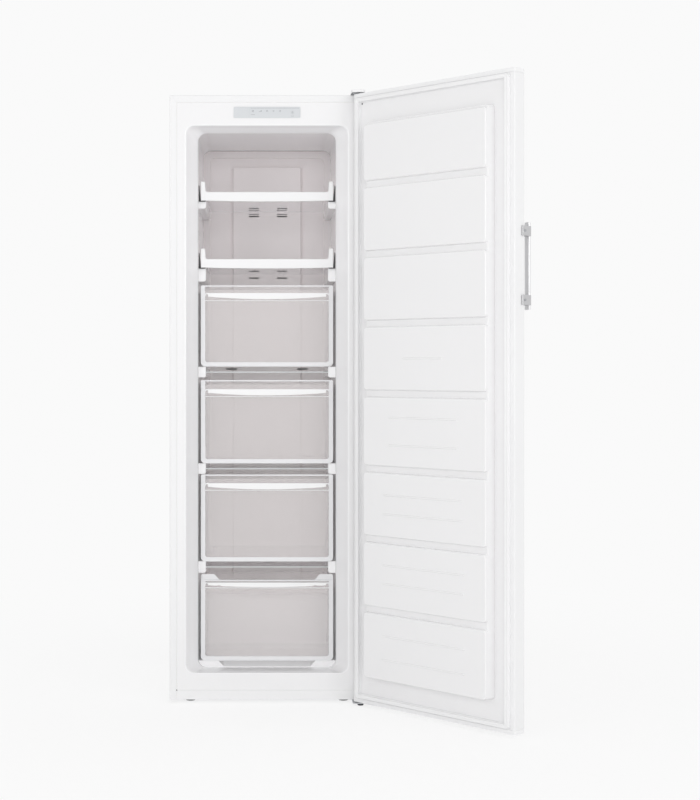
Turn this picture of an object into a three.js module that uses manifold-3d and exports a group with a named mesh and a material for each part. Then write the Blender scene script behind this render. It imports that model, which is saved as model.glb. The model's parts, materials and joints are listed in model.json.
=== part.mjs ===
// Upright no-frost freezer with its door open: two glass shelves above four clear drawers.
// Millimetres. X runs to the right as seen from the front, Y runs from the front to the back and Z up.
// Pieces are drawn with Y = 0 at the cabinet's front face and Z = 0 at its underside, the door as if it
// were shut. At the end the door is swung open and the whole freezer is centred over its origin.
import * as THREE from 'three';
import Module from 'manifold-3d';
import { mergeVertices } from 'three/addons/utils/BufferGeometryUtils.js';

const wasm = await Module();
wasm.setup();

// ---------------------------------------------------------------- driving dimensions
const BODY_W = 595; // cabinet width
const BODY_H = 1845; // cabinet height, without its feet
const BODY_D = 580; // cabinet depth, without the door
const FOOT_H = 10; // height of the feet
const SHEET = 0.8; // painted steel sheet
const SHELL_BEND = 4; // outer bend radius of the cabinet's sheet
const RETURN_W = 22; // width of the steel border round the front
const GAP = 0.3; // clearance between pieces that touch
const BORE_GAP = 0.05; // radial clearance of a pin or shaft that turns
const PAST = 1; // how far a cutting body runs past the wall that it cuts

// Food space: a mouth with two bevels, and a hollow behind them with a step over the compressor
const LINER_T = 1.5; // wall of the moulded liners
const MOUTH_SIDE = 49.5; // from the cabinet's side to the mouth
const MOUTH_BOTTOM = 81;
const FLANGE_R = 3; // corner of the liner's flange
const MOUTH_BELOW_TOP = 93; // from the cabinet's top down to the mouth
const MOUTH_R = 25; // its corner radius
const STEP_Y = 30; // end of the mouth's steep first bevel
const STEP_IN = 13; // how far that bevel comes in at the sides
const STEP_UP = 3; // and at the sill
const STEP_DOWN = 8; // and at the ceiling
const THROAT_Y = 58; // end of the wide second bevel
const WALL_IN = 34; // side walls behind the bevels, in from the mouth's edge
const FLOOR_UP = 6;
const CEILING_DOWN = 16.5;
const CAVITY_R = 20;
const REAR_FOAM = 65; // from the cabinet's back to the rear wall
const HUMP_D = 175; // depth of the step over the compressor
const HUMP_H = 175; // and its height
const SILL_H = 21; // raised sill under the lowest drawer
const SILL_D = 30;
const SILL_LIP = 6; // wall left behind the sill's finger recess
const SILL_NOTCH_TOP = 153; // half width of that recess at its top
const SILL_NOTCH_FOOT = 133; // and at its foot

// Levels are shares of the food space's height.
const SHELF_LEVELS = [0.8747, 0.7492]; // tops of the ribs under the glass shelves
const PLATE_LEVELS = [0.5636, 0.3822, 0.1984]; // and of the ribs that hold the glass between the drawers
const DRAWER_LEVELS = [0.7158, 0.5384, 0.3615, 0.1641]; // upper edges of the drawer fronts
const SLOT_LEVELS = [0.8656, 0.7413, 0.5587, 0.3719, 0.1656]; // air slots in the duct

const RIB_W = 25; // runner ribs on the side walls
const RIB_FRONT = 64;
const RIB_R = 3;
const RIB_FOOT_R = 6;
const SHELF_RIB_H = 24;
const STOP_RIB_H = 43; // the lower shelf's ribs reach down to the uppermost drawer
const PLATE_RIB_H = 34;
const LOW_RIB_H = 37;
const PLATE_T = 4; // glass plates and shelves
const PLATE_FRONT = 68;
const PLATE_R = 4;
const PLATE_SIDE_GAP = 2; // between the glass and the side wall
const GLASS_CLEAR = 3; // between the glass and the air duct

const RAIL_FRONT = 53; // front face of the shelf rails
const RAIL_D = 17;
const RAIL_H = 26;
const RAIL_LIP = 6; // rail in front of the glass
const RAIL_WALL = 4;
const RAIL_BOW = 3; // how far the rail's lower edge bows down in the middle
const RAIL_SIDE_GAP = 10; // between a rail's end and the wall
const RAIL_R = 6; // corner between rail and post
const POST_H = 33; // end posts above the rail
const POST_W = 14.5;
const POST_R = 3;
const POST_DRAFT = 2;

const DRAWER_SIDE_GAP = 10; // between a drawer front and the wall
const DRAWER_FRONT_Y = 54; // foremost face of a drawer front's frame
const DRAWER_FRONT_D = 8; // depth of that frame
const DRAWER_CORNER_R = 16;
const DRAWER_TOP_R = 5;
const PANE_T = 3; // clear pane inside the frame
const FRAME_W = 13; // width of the frame
const WINDOW_R = 9;
const BROW_GAP = 3; // bar left between the grip and the sunk strip above it
const BROW_TOP = 4;
const TUB_T = 2.2; // wall of the drawer tubs
const TUB_IN = 3; // tub inside the front's edge
const TUB_CLEAR = 6; // running room between the upper tubs and the air duct behind them
const TUB_DROP = 14; // tub rim below the top of its front
const TUB_TAPER = 4; // how much a tub narrows towards its bottom
const TUB_RIM = 4; // width of the rim round the tub's top
const TUB_RIM_T = 3;
const TUB_R = 12;
const HUMP_CLEAR = 12; // running room between the lowest tub and the step behind it
const GRIP_D = 10; // how far a grip stands out of the drawer front
const GRIP_T = 2;
const GRIP_BELOW_TOP = 24;
const GRIP_END_H = 8; // height of the grip at its ends
const GRIP_MID_H = 20; // and in the middle, where it bows down
const GRIP_INSET = 17; // between the grip's end and the front's edge
const EAR_H = 17; // raised ends of the lowest drawer front
const EAR_W = 41;
const EAR_SLOPE = 16;

// Cold air
const DUCT_FORWARD = 85; // evaporator cover, in front of the rear wall
const DUCT_T = 2.5;
const DUCT_HALF_W = 113; // central air duct on the cover
const DUCT_D = 12; // how far the duct stands forward
const DUCT_TOP_GAP = 55; // between the duct's top and the ceiling
const DUCT_FOOT = 30;
const DUCT_R = 4;
const RECESS_SIDE = 23; // shallow border step round the cover
const RECESS_FOOT = 20;
const RECESS_R = 18;
const RECESS_D = 5;
const SLOT_X = 44; // middle of an air slot from the duct's middle
const SLOT_W = 40;
const TOP_SLOT_W = 34;
const EDGE_SLOT_IN = 100; // the slots at the second plate run over the duct's edges
const EDGE_SLOT_OUT = 137;
const SLOT_H = 5;
const SLOT_PITCH = 11;
const EVAP_SIDE = 29; // evaporator, in from the side walls
const EVAP_CLEAR = 15; // and from the cover and the rear wall
const EVAP_ABOVE_HUMP = 68;
const EVAP_H = 190;
const FINS = 18;
const FIN_T = 1.2;
const FIN_SPINE = 3;
const BEND_R = 4; // pipe bends at the evaporator's ends
const BEND_OUT = 12;
const BEND_ROWS = 3;
const TAB_T = 1.5; // evaporator bracket
const TAB_UP = 20;
const TAB_DOWN = 60;
const HEATER_R = 3.5;
const HEATER_BEND = 10.5;
const HEATER_Y = 17; // nearer run of the heater behind the evaporator's front
const GUTTER_T = 3;
const GUTTER_FOOT = 60; // half width of the gutter's outlet
const GUTTER_SIDE = 14; // gutter's rim, in from the side walls
const GUTTER_R = 8;
const FAN_OVER_EVAP = 100;
const FAN_BEHIND_COVER = 22;
const FAN_R = 52;
const FAN_D = 16;
const HUB_R = 14;
const BLADES = 5;
const BLADE_T = 1.6;
const BLADE_W = 26;
const BLADE_PITCH = 28; // degrees
const SHAFT_R = 2;
const MOTOR_R = 22;
const MOTOR_BEHIND_FAN = 14;
const MOTOR_PLATE_W = 70;

// Compressor bay
const BAY_D = 182; // compressor bay, from the cabinet's back
const BAY_UNDER_HUMP = 58;
const BASE_T = 1.2; // base pan
const BASE_FLANGE = 14;
const BAR_H = 28.5; // crossbar under the mouth
const BAR_D = 18;
const BACK_OVERLAP = 8; // back panel below the bay's ceiling
const POT_X = -110;
const POT_BEHIND = 91; // compressor's middle behind the bay's front wall
const POT_R = 74;
const POT_FEET_H = 12; // height of its rubber feet
const POT_SEAM = 3;
const POT_FOOT_R = 11;
const POT_FOOT_X = 85;
const POT_FOOT_Y = 35;
const POT_PLATE_X = 100;
const POT_PLATE_Y = 50;
const RELAY_D = 30;
const RELAY_HALF_W = 30;
const RELAY_Z = 60;
const RELAY_H = 65;
const DISH_UNDER = 23; // dish rim below the bay's ceiling
const DISH_H = 26;
const DISH_HALF_W = 96;
const DISH_HALF_D = 75;
const DISH_DRAFT = 6;
const DISH_T = 2.5;
const DISH_R = 13;
const DRIER_X = 95;
const DRIER_BEHIND = 72;
const DRIER_Z = 60;
const DRIER_H = 90;
const DRIER_R = 9;
const DRIER_NECK = 12;
const CAPILLARY_R = 1.5;
const PORT_Z = 56; // height of the pot's pipe ports
const PIPE_RUN = 75; // straight run of the discharge pipe before the drier
const DISCHARGE_R = 3;
const SUCTION_R = 4;
const TERM_SIDE = 42.5; // terminal box, in from the cabinet's side
const TERM_W = 80;
const TERM_D = 60;
const TERM_H = 60.5;
const TERM_BACK = 20;
const TERM_R = 4;
const GLAND_R = 10;
const GLAND_Z = 36;

// Control panel in the border over the mouth
const PANEL_X = 101.7; // half width of the control panel
const PANEL_H = 34;
const PANEL_BELOW_TOP = 53; // its middle below the cabinet's top
const PANEL_T = 1.7;
const PANEL_R = 3;
const PANEL_DIVIDER_X = -53; // groove beside the bare field at the left
const GROOVE_HALF = 0.4;
const GROOVE_DEPTH = 0.5;
const BOX_SIDE = 13.7; // housing behind the panel, in from its ends
const BOX_EDGE = 6; // and from its long edges
const BOX_D = 14;
const BOX_T = 1.5;
const BUTTON_X = 77.8;
const BUTTON_R = 4.2;
const BUTTON_COLLAR = 1.5;
const BUTTON_PROUD = 0.2;
const BUTTON_END = 3;
const BUTTON_TRAVEL = 1;
const BOARD_T = 1.6;

// Door
const OPEN_ANGLE = 135; // the door as it stands open
const PIVOT_INSET = 14; // door pivot, in from the cabinet's side
const PIVOT_Y = -29; // and in front of its front face
const DOOR_GAP = 12; // room for the gasket
const DOOR_T = 52;
const DOOR_SIDE = 1.5; // door's side inside the cabinet's
const DOOR_BOTTOM = 2;
const DOOR_BELOW_TOP = 4;
const DOOR_R = 12; // rounding of the door's outer upright edges
const DOOR_IN_R = 2.5; // and of its inner ones
const CAP_H = 12; // plastic end caps
const LIP_W = 15; // steel lip on the door's inner side
const LINER_TUCK = 10; // how far the door liner reaches under that lip
const GASKET_W = 13.5;
const GASKET_BASE_T = 3;
const GASKET_HEAD_T = 4.7;
const GASKET_R = 4;
const FIELD_SIDE = 20; // raised field on the door's inner side, inside the mouth's edge
const FIELD_FOOT = 9;
const FIELD_HEAD = 13;
const FIELD_D = 26; // height of the field's base
const FIELD_R = 12;
const FIELD_DRAFT = 5;
const PANEL_RAISE = 12; // height of the panels on it
const FIELD_PANEL_R = 10;
// Upper edges of the grooves, as shares of the field's height
const GROOVE_LEVELS = [0.895, 0.769, 0.6435, 0.518, 0.3827, 0.2565, 0.1298];
const GROOVE_W = 20;
const EMBOSS = [ // raised lines: panel counted from the bottom, half length and heights as shares of the panel
  { panel: 0, reach: 0.66, levels: [0.17, -0.18] },
  { panel: 1, reach: 0.66, levels: [0.16, -0.12] },
  { panel: 2, reach: 0.64, levels: [0.15, -0.14] },
  { panel: 3, reach: 0.55, levels: [0.2, -0.19] },
  { panel: 4, reach: 0.31, levels: [0] },
];
const EMBOSS_W = 4;
const EMBOSS_H = 1;

const HANDLE_L = 244;
const HANDLE_LEVEL = 0.703; // middle of the handle, as a share of the cabinet's height
const BRACKET_IN = 26; // a bracket's middle from the handle's end
const BRACKET_H = 28;
const BAR_W = 16; // handle bar, along the door's width
const BAR_T = 10; // and its thickness
const BAR_R = 3;
const HANDLE_REACH = 36; // from the door's face to the bar's outer side
const BAR_OFFSET = 8; // bar's outer edge in from the door's edge
const BRACKET_T = 5;
const BRACKET_GRIP = 22; // length of the bracket along the door's edge face
const BRACKET_BEND = 14;
const BRACKET_EASE = 1.5;

// Hinges and feet
const PIN_R = 4; // hinge pins
const PIN_HEAD = 3; // pin head beyond the pin
const PIN_DEPTH = 18; // pin inside the door
const BUSH_R = 8;
const HINGE_T = 3; // hinge plates
const HINGE_FRONT = 15; // plate beyond the pivot, to the front
const HINGE_IN = 24; // towards the door's middle
const HINGE_OUT = 12; // and towards its side
const HINGE_BACK = 70; // rear end of the plate on the cabinet
const HINGE_R = 10;
const COVER_OVER = 4; // top hinge's cover beyond its plate
const COVER_H = 5;
const COVER_T = 2;
const STOP_L = 78; // stop plate under the door
const STOP_HALF_W = 12;
const STOP_T = 1.4;
const SUPPORT_R = 9; // foot under the lower hinge
const FOOT_SIDE = 62.5; // feet, in from the cabinet's side
const FRONT_FOOT_Y = 45;
const REAR_FOOT_BACK = 70;
const FOOT_R = 16;
const STUD_R = 5;
const REAR_FOOT_W = 36;
const REAR_FOOT_L = 50;

// ---------------------------------------------------------------- values worked out from them
const HALF_W = BODY_W / 2;
const PIVOT_X = HALF_W - PIVOT_INSET;
const MOUTH_HALF_W = HALF_W - MOUTH_SIDE;
const MOUTH_TOP = BODY_H - MOUTH_BELOW_TOP;
const CAVITY_HALF_W = MOUTH_HALF_W - WALL_IN;
const CAVITY_BOTTOM = MOUTH_BOTTOM + FLOOR_UP;
const CAVITY_TOP = MOUTH_TOP - CEILING_DOWN;
const CAVITY_BACK = BODY_D - REAR_FOAM;
const HUMP_Y = CAVITY_BACK - HUMP_D;
const HUMP_TOP = CAVITY_BOTTOM + HUMP_H;
const SILL_TOP = CAVITY_BOTTOM + SILL_H;
const SILL_BACK = THROAT_Y + SILL_D;
const BAY_Y = BODY_D - BAY_D;
const BAY_TOP = HUMP_TOP - BAY_UNDER_HUMP;
const DUCT_Y = CAVITY_BACK - DUCT_FORWARD;
const DUCT_FRONT = DUCT_Y - DUCT_D;
const DUCT_BOTTOM = HUMP_TOP + GAP;
const RIB_IN = CAVITY_HALF_W - RIB_W;
const RIB_BACK = DUCT_Y - RECESS_D - 1;
const DRAWER_HALF_W = CAVITY_HALF_W - DRAWER_SIDE_GAP;
const RAIL_HALF_W = CAVITY_HALF_W - RAIL_SIDE_GAP;
const DOOR_HALF_W = HALF_W - DOOR_SIDE;
const DOOR_TOP = BODY_H - DOOR_BELOW_TOP;
const DOOR_IN = -DOOR_GAP; // inner face of the shut door
const DOOR_OUT = DOOR_IN - DOOR_T;
const DOOR_LINER_Y = DOOR_IN - SHEET - GAP; // face of the door liner's border
const FIELD_HALF_W = MOUTH_HALF_W - FIELD_SIDE;
const FIELD_BOTTOM = MOUTH_BOTTOM + FIELD_FOOT;
const FIELD_TOP = MOUTH_TOP - FIELD_HEAD;
const FLANGE_X = HALF_W - RETURN_W - GAP; // liner flange between the steel borders
const FLANGE_TOP = BODY_H - RETURN_W - GAP;
const FLANGE_BOTTOM = BAR_H + GAP;
const INNER_X = HALF_W - SHEET - GAP;
const BACK_Y = BODY_D - SHEET;
const PANEL_MIDDLE = BODY_H - PANEL_BELOW_TOP;
const PANEL_BOTTOM = PANEL_MIDDLE - PANEL_H / 2;
const PANEL_TOP = PANEL_MIDDLE + PANEL_H / 2;
const BOX_HALF_W = PANEL_X - BOX_SIDE;
const BOX_HALF_H = PANEL_H / 2 - BOX_EDGE;

const level = (share) => CAVITY_BOTTOM + share * (CAVITY_TOP - CAVITY_BOTTOM);
const shelfRibs = SHELF_LEVELS.map((share, i) =>
  ({ top: level(share), height: i ? STOP_RIB_H : SHELF_RIB_H }));
const plateRibs = PLATE_LEVELS.map((share, i) =>
  ({ top: level(share), height: i < 2 ? PLATE_RIB_H : LOW_RIB_H }));
const plateMiddle = ({ top, height }) => top - height / 2; // middle of the glass in a pair of ribs

// ---------------------------------------------------------------- finishes
const paint = (color, roughness, metalness = 0) =>
  new THREE.MeshStandardMaterial({ color, roughness, metalness });
const whitePaint = () => paint(0xf1f2f3, 0.35);
const whitePlastic = () => paint(0xf4f4f4, 0.45);
const paleLiner = () => paint(0xf3f3f5, 0.4);
const greyPanel = () => paint(0xdfe2e6, 0.4);
const clearPlastic = () =>
  new THREE.MeshStandardMaterial({ color: 0xe8eef2, roughness: 0.1, transparent: true, opacity: 0.35 });
const clearGlass = () =>
  new THREE.MeshStandardMaterial({ color: 0xdfeee8, roughness: 0.05, transparent: true, opacity: 0.3 });
const zincSteel = () => paint(0xb9bcc0, 0.4, 0.9);
const brushedMetal = () => paint(0xa9aaac, 0.35, 1);
const softRubber = () => paint(0xeceded, 0.8);
const blackPlastic = () => paint(0x1c1c1e, 0.5);
const blackEnamel = () => paint(0x202124, 0.35, 0.3);
const copper = () => paint(0xb87345, 0.3, 1);
const finStock = () => paint(0xc7cacd, 0.4, 0.9);
const foam = () => paint(0xe8dcae, 0.95);
const greenBoard = () => paint(0x2d6b4a, 0.6);

// ---------------------------------------------------------------- solids
function toSolid(geometry) {
  const bare = geometry.clone();
  bare.deleteAttribute('normal');
  bare.deleteAttribute('uv');
  const merged = mergeVertices(bare, 1e-4);
  return new wasm.Manifold(new wasm.Mesh({
    numProp: 3,
    vertProperties: new Float32Array(merged.attributes.position.array),
    triVerts: new Uint32Array(merged.index.array),
  }));
}

function toGeometry(solid) {
  const mesh = solid.getMesh();
  const geometry = new THREE.BufferGeometry();
  geometry.setAttribute('position', new THREE.BufferAttribute(mesh.vertProperties, 3));
  geometry.setIndex(new THREE.BufferAttribute(mesh.triVerts, 1));
  geometry.computeVertexNormals();
  return geometry;
}

const join = (first, ...rest) => rest.reduce((sum, solid) => sum.add(solid), first);
const cut = (first, ...rest) => rest.reduce((sum, solid) => sum.subtract(solid), first);

function block(x0, x1, y0, y1, z0, z1) {
  const geometry = new THREE.BoxGeometry(x1 - x0, y1 - y0, z1 - z0);
  geometry.translate((x0 + x1) / 2, (y0 + y1) / 2, (z0 + z1) / 2);
  return toSolid(geometry);
}

// An outline pushed along an axis. Outlines are drawn in (x, y), (x, z) or (y, z).
const AXES = {
  z: new THREE.Matrix4(),
  y: new THREE.Matrix4().makeBasis(
    new THREE.Vector3(1, 0, 0), new THREE.Vector3(0, 0, 1), new THREE.Vector3(0, -1, 0)),
  x: new THREE.Matrix4().makeBasis(
    new THREE.Vector3(0, 1, 0), new THREE.Vector3(0, 0, 1), new THREE.Vector3(1, 0, 0)),
};

// curveSegments gives twice as many facets on each arc, so a half gives one chamfer.
function prism(shape, axis, from, to, curveSegments = 2) {
  const geometry = new THREE.ExtrudeGeometry(shape, { depth: to - from, bevelEnabled: false, curveSegments });
  geometry.translate(0, 0, axis === 'y' ? -to : from);
  geometry.applyMatrix4(AXES[axis]);
  return toSolid(geometry);
}

function roundedRect(x0, x1, y0, y1, radii) {
  const [bl, br, tr, tl] = Array.isArray(radii) ? radii : [radii, radii, radii, radii];
  const shape = new THREE.Shape();
  shape.moveTo(x0 + bl, y0);
  shape.lineTo(x1 - br, y0);
  if (br) shape.absarc(x1 - br, y0 + br, br, -Math.PI / 2, 0);
  shape.lineTo(x1, y1 - tr);
  if (tr) shape.absarc(x1 - tr, y1 - tr, tr, 0, Math.PI / 2);
  shape.lineTo(x0 + tl, y1);
  if (tl) shape.absarc(x0 + tl, y1 - tl, tl, Math.PI / 2, Math.PI);
  shape.lineTo(x0, y0 + bl);
  if (bl) shape.absarc(x0 + bl, y0 + bl, bl, Math.PI, Math.PI * 1.5);
  return shape;
}

function polygon(points) {
  const shape = new THREE.Shape();
  points.forEach(([x, y], i) => (i ? shape.lineTo(x, y) : shape.moveTo(x, y)));
  return shape;
}

// A round bar along an axis, centred at (a, b) in the plane that the axis stands on.
function round(axis, radius, from, to, a, b, sides = 24) {
  const shape = new THREE.Shape().absarc(a, b, radius, 0, Math.PI * 2);
  return prism(shape, axis, from, to, sides / 2);
}

// A skin through rings of equal point counts, closed by a flat cap at each end.
function loft(rings) {
  const count = rings[0].length;
  const positions = rings.flat().flatMap((p) => [p.x, p.y, p.z]);
  const index = [];
  for (let k = 0; k < rings.length - 1; k += 1) {
    for (let i = 0; i < count; i += 1) {
      const a = k * count + i;
      const b = k * count + ((i + 1) % count);
      index.push(a, b, b + count, a, b + count, a + count);
    }
  }
  const last = (rings.length - 1) * count;
  for (let i = 1; i < count - 1; i += 1) {
    index.push(0, i + 1, i, last, last + i, last + i + 1);
  }
  if (signedVolume(positions, index) < 0) index.reverse();
  const geometry = new THREE.BufferGeometry();
  geometry.setAttribute('position', new THREE.Float32BufferAttribute(positions, 3));
  geometry.setIndex(index);
  return toSolid(geometry);
}

function signedVolume(positions, index) {
  const corner = (i) => new THREE.Vector3().fromArray(positions, i * 3);
  let sum = 0;
  for (let i = 0; i < index.length; i += 3) {
    sum += corner(index[i]).dot(corner(index[i + 1]).cross(corner(index[i + 2])));
  }
  return sum / 6;
}

// A rounded rectangle as a ring of points. Each corner has this many facets.
const CORNER_FACETS = 3;
function ringPoints(x0, x1, y0, y1, radius, place) {
  const corners = [[x1 - radius, y0 + radius, -90], [x1 - radius, y1 - radius, 0],
    [x0 + radius, y1 - radius, 90], [x0 + radius, y0 + radius, 180]];
  return corners.flatMap(([cx, cy, start]) =>
    Array.from({ length: CORNER_FACETS + 1 }, (_, i) => {
      const angle = THREE.MathUtils.degToRad(start + (90 * i) / CORNER_FACETS);
      return place(cx + radius * Math.cos(angle), cy + radius * Math.sin(angle));
    }));
}
const uprightRing = (x0, x1, z0, z1, radius, y) =>
  ringPoints(x0, x1, z0, z1, radius, (x, z) => new THREE.Vector3(x, y, z));
const flatRing = (x0, x1, y0, y1, radius, z) =>
  ringPoints(x0, x1, y0, y1, radius, (x, y) => new THREE.Vector3(x, y, z));

function lathe(points, x, y, z, segments = 32) {
  const geometry = new THREE.LatheGeometry(points.map(([r, h]) => new THREE.Vector2(r, h)), segments);
  geometry.rotateX(Math.PI / 2);
  geometry.translate(x, y, z);
  return toSolid(geometry);
}

// A bent pipe: rings of points square to a smooth line through the given points, some for each span.
function pipe(points, radius, perSpan = 3, sides = 8) {
  const curve = new THREE.CatmullRomCurve3(points.map((p) => new THREE.Vector3(...p)));
  const centres = curve.getPoints((points.length - 1) * perSpan);
  const across = new THREE.Vector3(0, 0, 1);
  const rings = centres.map((centre, i) => {
    const along = centres[Math.min(i + 1, centres.length - 1)].clone()
      .sub(centres[Math.max(i - 1, 0)]).normalize();
    if (i === 0 && Math.abs(along.z) > 0.9) across.set(0, 1, 0);
    across.addScaledVector(along, -across.dot(along)).normalize();
    const other = along.clone().cross(across);
    return Array.from({ length: sides }, (_, k) => {
      const angle = (k * Math.PI * 2) / sides;
      return centre.clone().addScaledVector(across, radius * Math.cos(angle))
        .addScaledVector(other, radius * Math.sin(angle));
    });
  });
  return loft(rings);
}

// ---------------------------------------------------------------- the assembly
const freezer = new THREE.Group();
const cabinet = new THREE.Group();
cabinet.position.z = FOOT_H;
freezer.add(cabinet);
const hinge = new THREE.Group();
hinge.position.set(PIVOT_X, PIVOT_Y, 0);
hinge.rotation.z = THREE.MathUtils.degToRad(OPEN_ANGLE);
cabinet.add(hinge);
const door = new THREE.Group();
door.position.set(-PIVOT_X, -PIVOT_Y, 0);
hinge.add(door);

function piece(parent, name, solid, material) {
  const mesh = new THREE.Mesh(toGeometry(solid), material);
  mesh.name = name;
  parent.add(mesh);
}

// ---------------------------------------------------------------- cabinet casing
// The cabinet's outer form, drawn inwards by inset, with its front and top bends.
function cabinetForm(inset, back) {
  const bend = SHELL_BEND - inset;
  const x = HALF_W - inset;
  const top = BODY_H - inset;
  const plan = roundedRect(-x, x, inset, back, [bend, bend, 0, 0]);
  const side = roundedRect(inset, back, -PAST, top, [0, 0, 0, bend]);
  const face = roundedRect(-x, x, -PAST, top, [0, 0, bend, bend]);
  return prism(plan, 'z', -PAST, BODY_H)
    .intersect(prism(side, 'x', -HALF_W, HALF_W))
    .intersect(prism(face, 'y', 0, back));
}

const underside = block(-HALF_W - PAST, HALF_W + PAST, -PAST, BODY_D + PAST, -2 * PAST, 0);
const frontWindow = block(-HALF_W + RETURN_W, HALF_W - RETURN_W, -PAST, SHEET + PAST,
  -2 * PAST, BODY_H - RETURN_W);
piece(cabinet, 'outer_shell',
  cut(cabinetForm(0, BODY_D), cabinetForm(SHEET, BODY_D + PAST), frontWindow, underside), whitePaint());

piece(cabinet, 'back_panel', prism(
  roundedRect(-INNER_X, INNER_X, BAY_TOP - BACK_OVERLAP, BODY_H - SHEET - GAP, [0, 0, SHELL_BEND, SHELL_BEND]),
  'y', BACK_Y, BODY_D), whitePaint());

piece(cabinet, 'base_pan',
  join(
    block(-INNER_X, INNER_X, BAR_D + GAP, BODY_D, 0, BASE_T),
    block(-INNER_X, INNER_X, BODY_D - BASE_T, BODY_D, 0, BASE_FLANGE),
  ), zincSteel());

// The crossbar is a folded channel, open towards the back.
const barChannel = polygon([[0, 0], [BAR_D, 0], [BAR_D, SHEET], [SHEET, SHEET],
  [SHEET, BAR_H - SHEET], [BAR_D, BAR_H - SHEET], [BAR_D, BAR_H], [0, BAR_H]]);
piece(cabinet, 'front_crossbar', prism(barChannel, 'x', -FLANGE_X, FLANGE_X), whitePaint());

// ---------------------------------------------------------------- food space
// The hollow of the liner, grown by a wall. It has two bevels at the mouth and a step at the back.
function foodSpace(grow, front) {
  const ring = (y, halfW, bottom, top, radius) =>
    uprightRing(-halfW - grow, halfW + grow, bottom - grow, top + grow, radius + grow, y);
  const hollow = loft([
    ring(front, MOUTH_HALF_W, MOUTH_BOTTOM, MOUTH_TOP, MOUTH_R),
    ring(Math.max(front, 0) + 0.01, MOUTH_HALF_W, MOUTH_BOTTOM, MOUTH_TOP, MOUTH_R),
    ring(STEP_Y, MOUTH_HALF_W - STEP_IN, MOUTH_BOTTOM + STEP_UP, MOUTH_TOP - STEP_DOWN, MOUTH_R),
    ring(THROAT_Y, CAVITY_HALF_W, CAVITY_BOTTOM, CAVITY_TOP, CAVITY_R),
    ring(CAVITY_BACK + grow, CAVITY_HALF_W, CAVITY_BOTTOM, CAVITY_TOP, CAVITY_R),
  ]);
  const rear = BODY_D;
  const hump = polygon([[HUMP_Y + grow, 0], [rear, 0], [rear, HUMP_TOP - grow],
    [HUMP_Y + CAVITY_R + grow, HUMP_TOP - grow], [HUMP_Y + grow, HUMP_TOP - CAVITY_R - grow]]);
  return hollow.subtract(prism(hump, 'x', -HALF_W, HALF_W));
}

function ribPair({ top, height }) {
  const outline = (side) => {
    const inner = side * RIB_IN;
    const outer = side * (CAVITY_HALF_W + LINER_T / 2);
    return roundedRect(Math.min(inner, outer), Math.max(inner, outer), top - height, top,
      side > 0 ? [RIB_FOOT_R, 0, 0, RIB_R] : [0, RIB_FOOT_R, RIB_R, 0]);
  };
  return join(prism(outline(1), 'y', RIB_FRONT, RIB_BACK), prism(outline(-1), 'y', RIB_FRONT, RIB_BACK));
}

function makeLiner() {
  const flange = prism(
    roundedRect(-FLANGE_X, FLANGE_X, FLANGE_BOTTOM, FLANGE_TOP, FLANGE_R), 'y', 0, LINER_T);
  const shell = cut(join(foodSpace(LINER_T, 0), flange), foodSpace(0, -PAST));
  const ribs = [...shelfRibs, ...plateRibs].map(ribPair);
  const wall = CAVITY_HALF_W + LINER_T / 2;
  const sill = block(-wall, wall, THROAT_Y + 2, SILL_BACK, CAVITY_BOTTOM - LINER_T / 2, SILL_TOP);
  const notch = prism(polygon([[-SILL_NOTCH_FOOT, CAVITY_BOTTOM + 1], [SILL_NOTCH_FOOT, CAVITY_BOTTOM + 1],
    [SILL_NOTCH_TOP, SILL_TOP + PAST], [-SILL_NOTCH_TOP, SILL_TOP + PAST]]),
  'y', THROAT_Y, SILL_BACK - SILL_LIP);
  const floorRunners = [-1, 1].map((side) => block(
    Math.min(side * RIB_IN, side * wall), Math.max(side * RIB_IN, side * wall),
    SILL_BACK - 1, HUMP_Y + LINER_T / 2, CAVITY_BOTTOM - LINER_T / 2, SILL_TOP));
  const slots = plateRibs.map((rib) => block(
    -CAVITY_HALF_W + PLATE_SIDE_GAP, CAVITY_HALF_W - PLATE_SIDE_GAP, PLATE_FRONT, RIB_BACK + PAST,
    plateMiddle(rib) - PLATE_T / 2 - GAP, plateMiddle(rib) + PLATE_T / 2 + GAP));
  const panelHole = block(-BOX_HALF_W - GAP, BOX_HALF_W + GAP, -PAST, LINER_T + PAST,
    PANEL_MIDDLE - BOX_HALF_H - GAP, PANEL_MIDDLE + BOX_HALF_H + GAP);
  const inWalls = foodSpace(LINER_T / 2, 0);
  const floor = join(cut(sill, notch), ...floorRunners).intersect(inWalls);
  return cut(join(shell, ...ribs, floor), ...slots, panelHole);
}
piece(cabinet, 'cabinet_liner', makeLiner(), paleLiner());

function makeInsulation() {
  const under = -2 * PAST;
  return cut(
    cabinetForm(SHEET + GAP, BACK_Y - GAP),
    block(-HALF_W, HALF_W, -PAST, LINER_T + GAP, under, BODY_H),
    block(-HALF_W, HALF_W, -PAST, BODY_D, under, BASE_T + GAP),
    block(-HALF_W, HALF_W, -PAST, BAR_D + GAP, under, BAR_H + GAP),
    foodSpace(LINER_T + GAP, -PAST),
    block(-HALF_W, HALF_W, BAY_Y - SHEET - GAP, BODY_D + PAST, under, BAY_TOP + SHEET + GAP),
    block(-BOX_HALF_W - 1, BOX_HALF_W + 1, -PAST, BOX_D + 2, PANEL_MIDDLE - BOX_HALF_H - 1,
      PANEL_MIDDLE + BOX_HALF_H + 1),
  );
}
piece(cabinet, 'insulation', makeInsulation(), foam());

// The bay panel is one folded sheet: the bay's front wall and its ceiling.
const bayOutline = polygon([[BAY_Y - SHEET, BASE_T + GAP], [BAY_Y, BASE_T + GAP], [BAY_Y, BAY_TOP],
  [BACK_Y - GAP, BAY_TOP], [BACK_Y - GAP, BAY_TOP + SHEET], [BAY_Y - SHEET, BAY_TOP + SHEET]]);
piece(cabinet, 'compressor_bay_panel', prism(bayOutline, 'x', -INNER_X, INNER_X), zincSteel());

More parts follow.
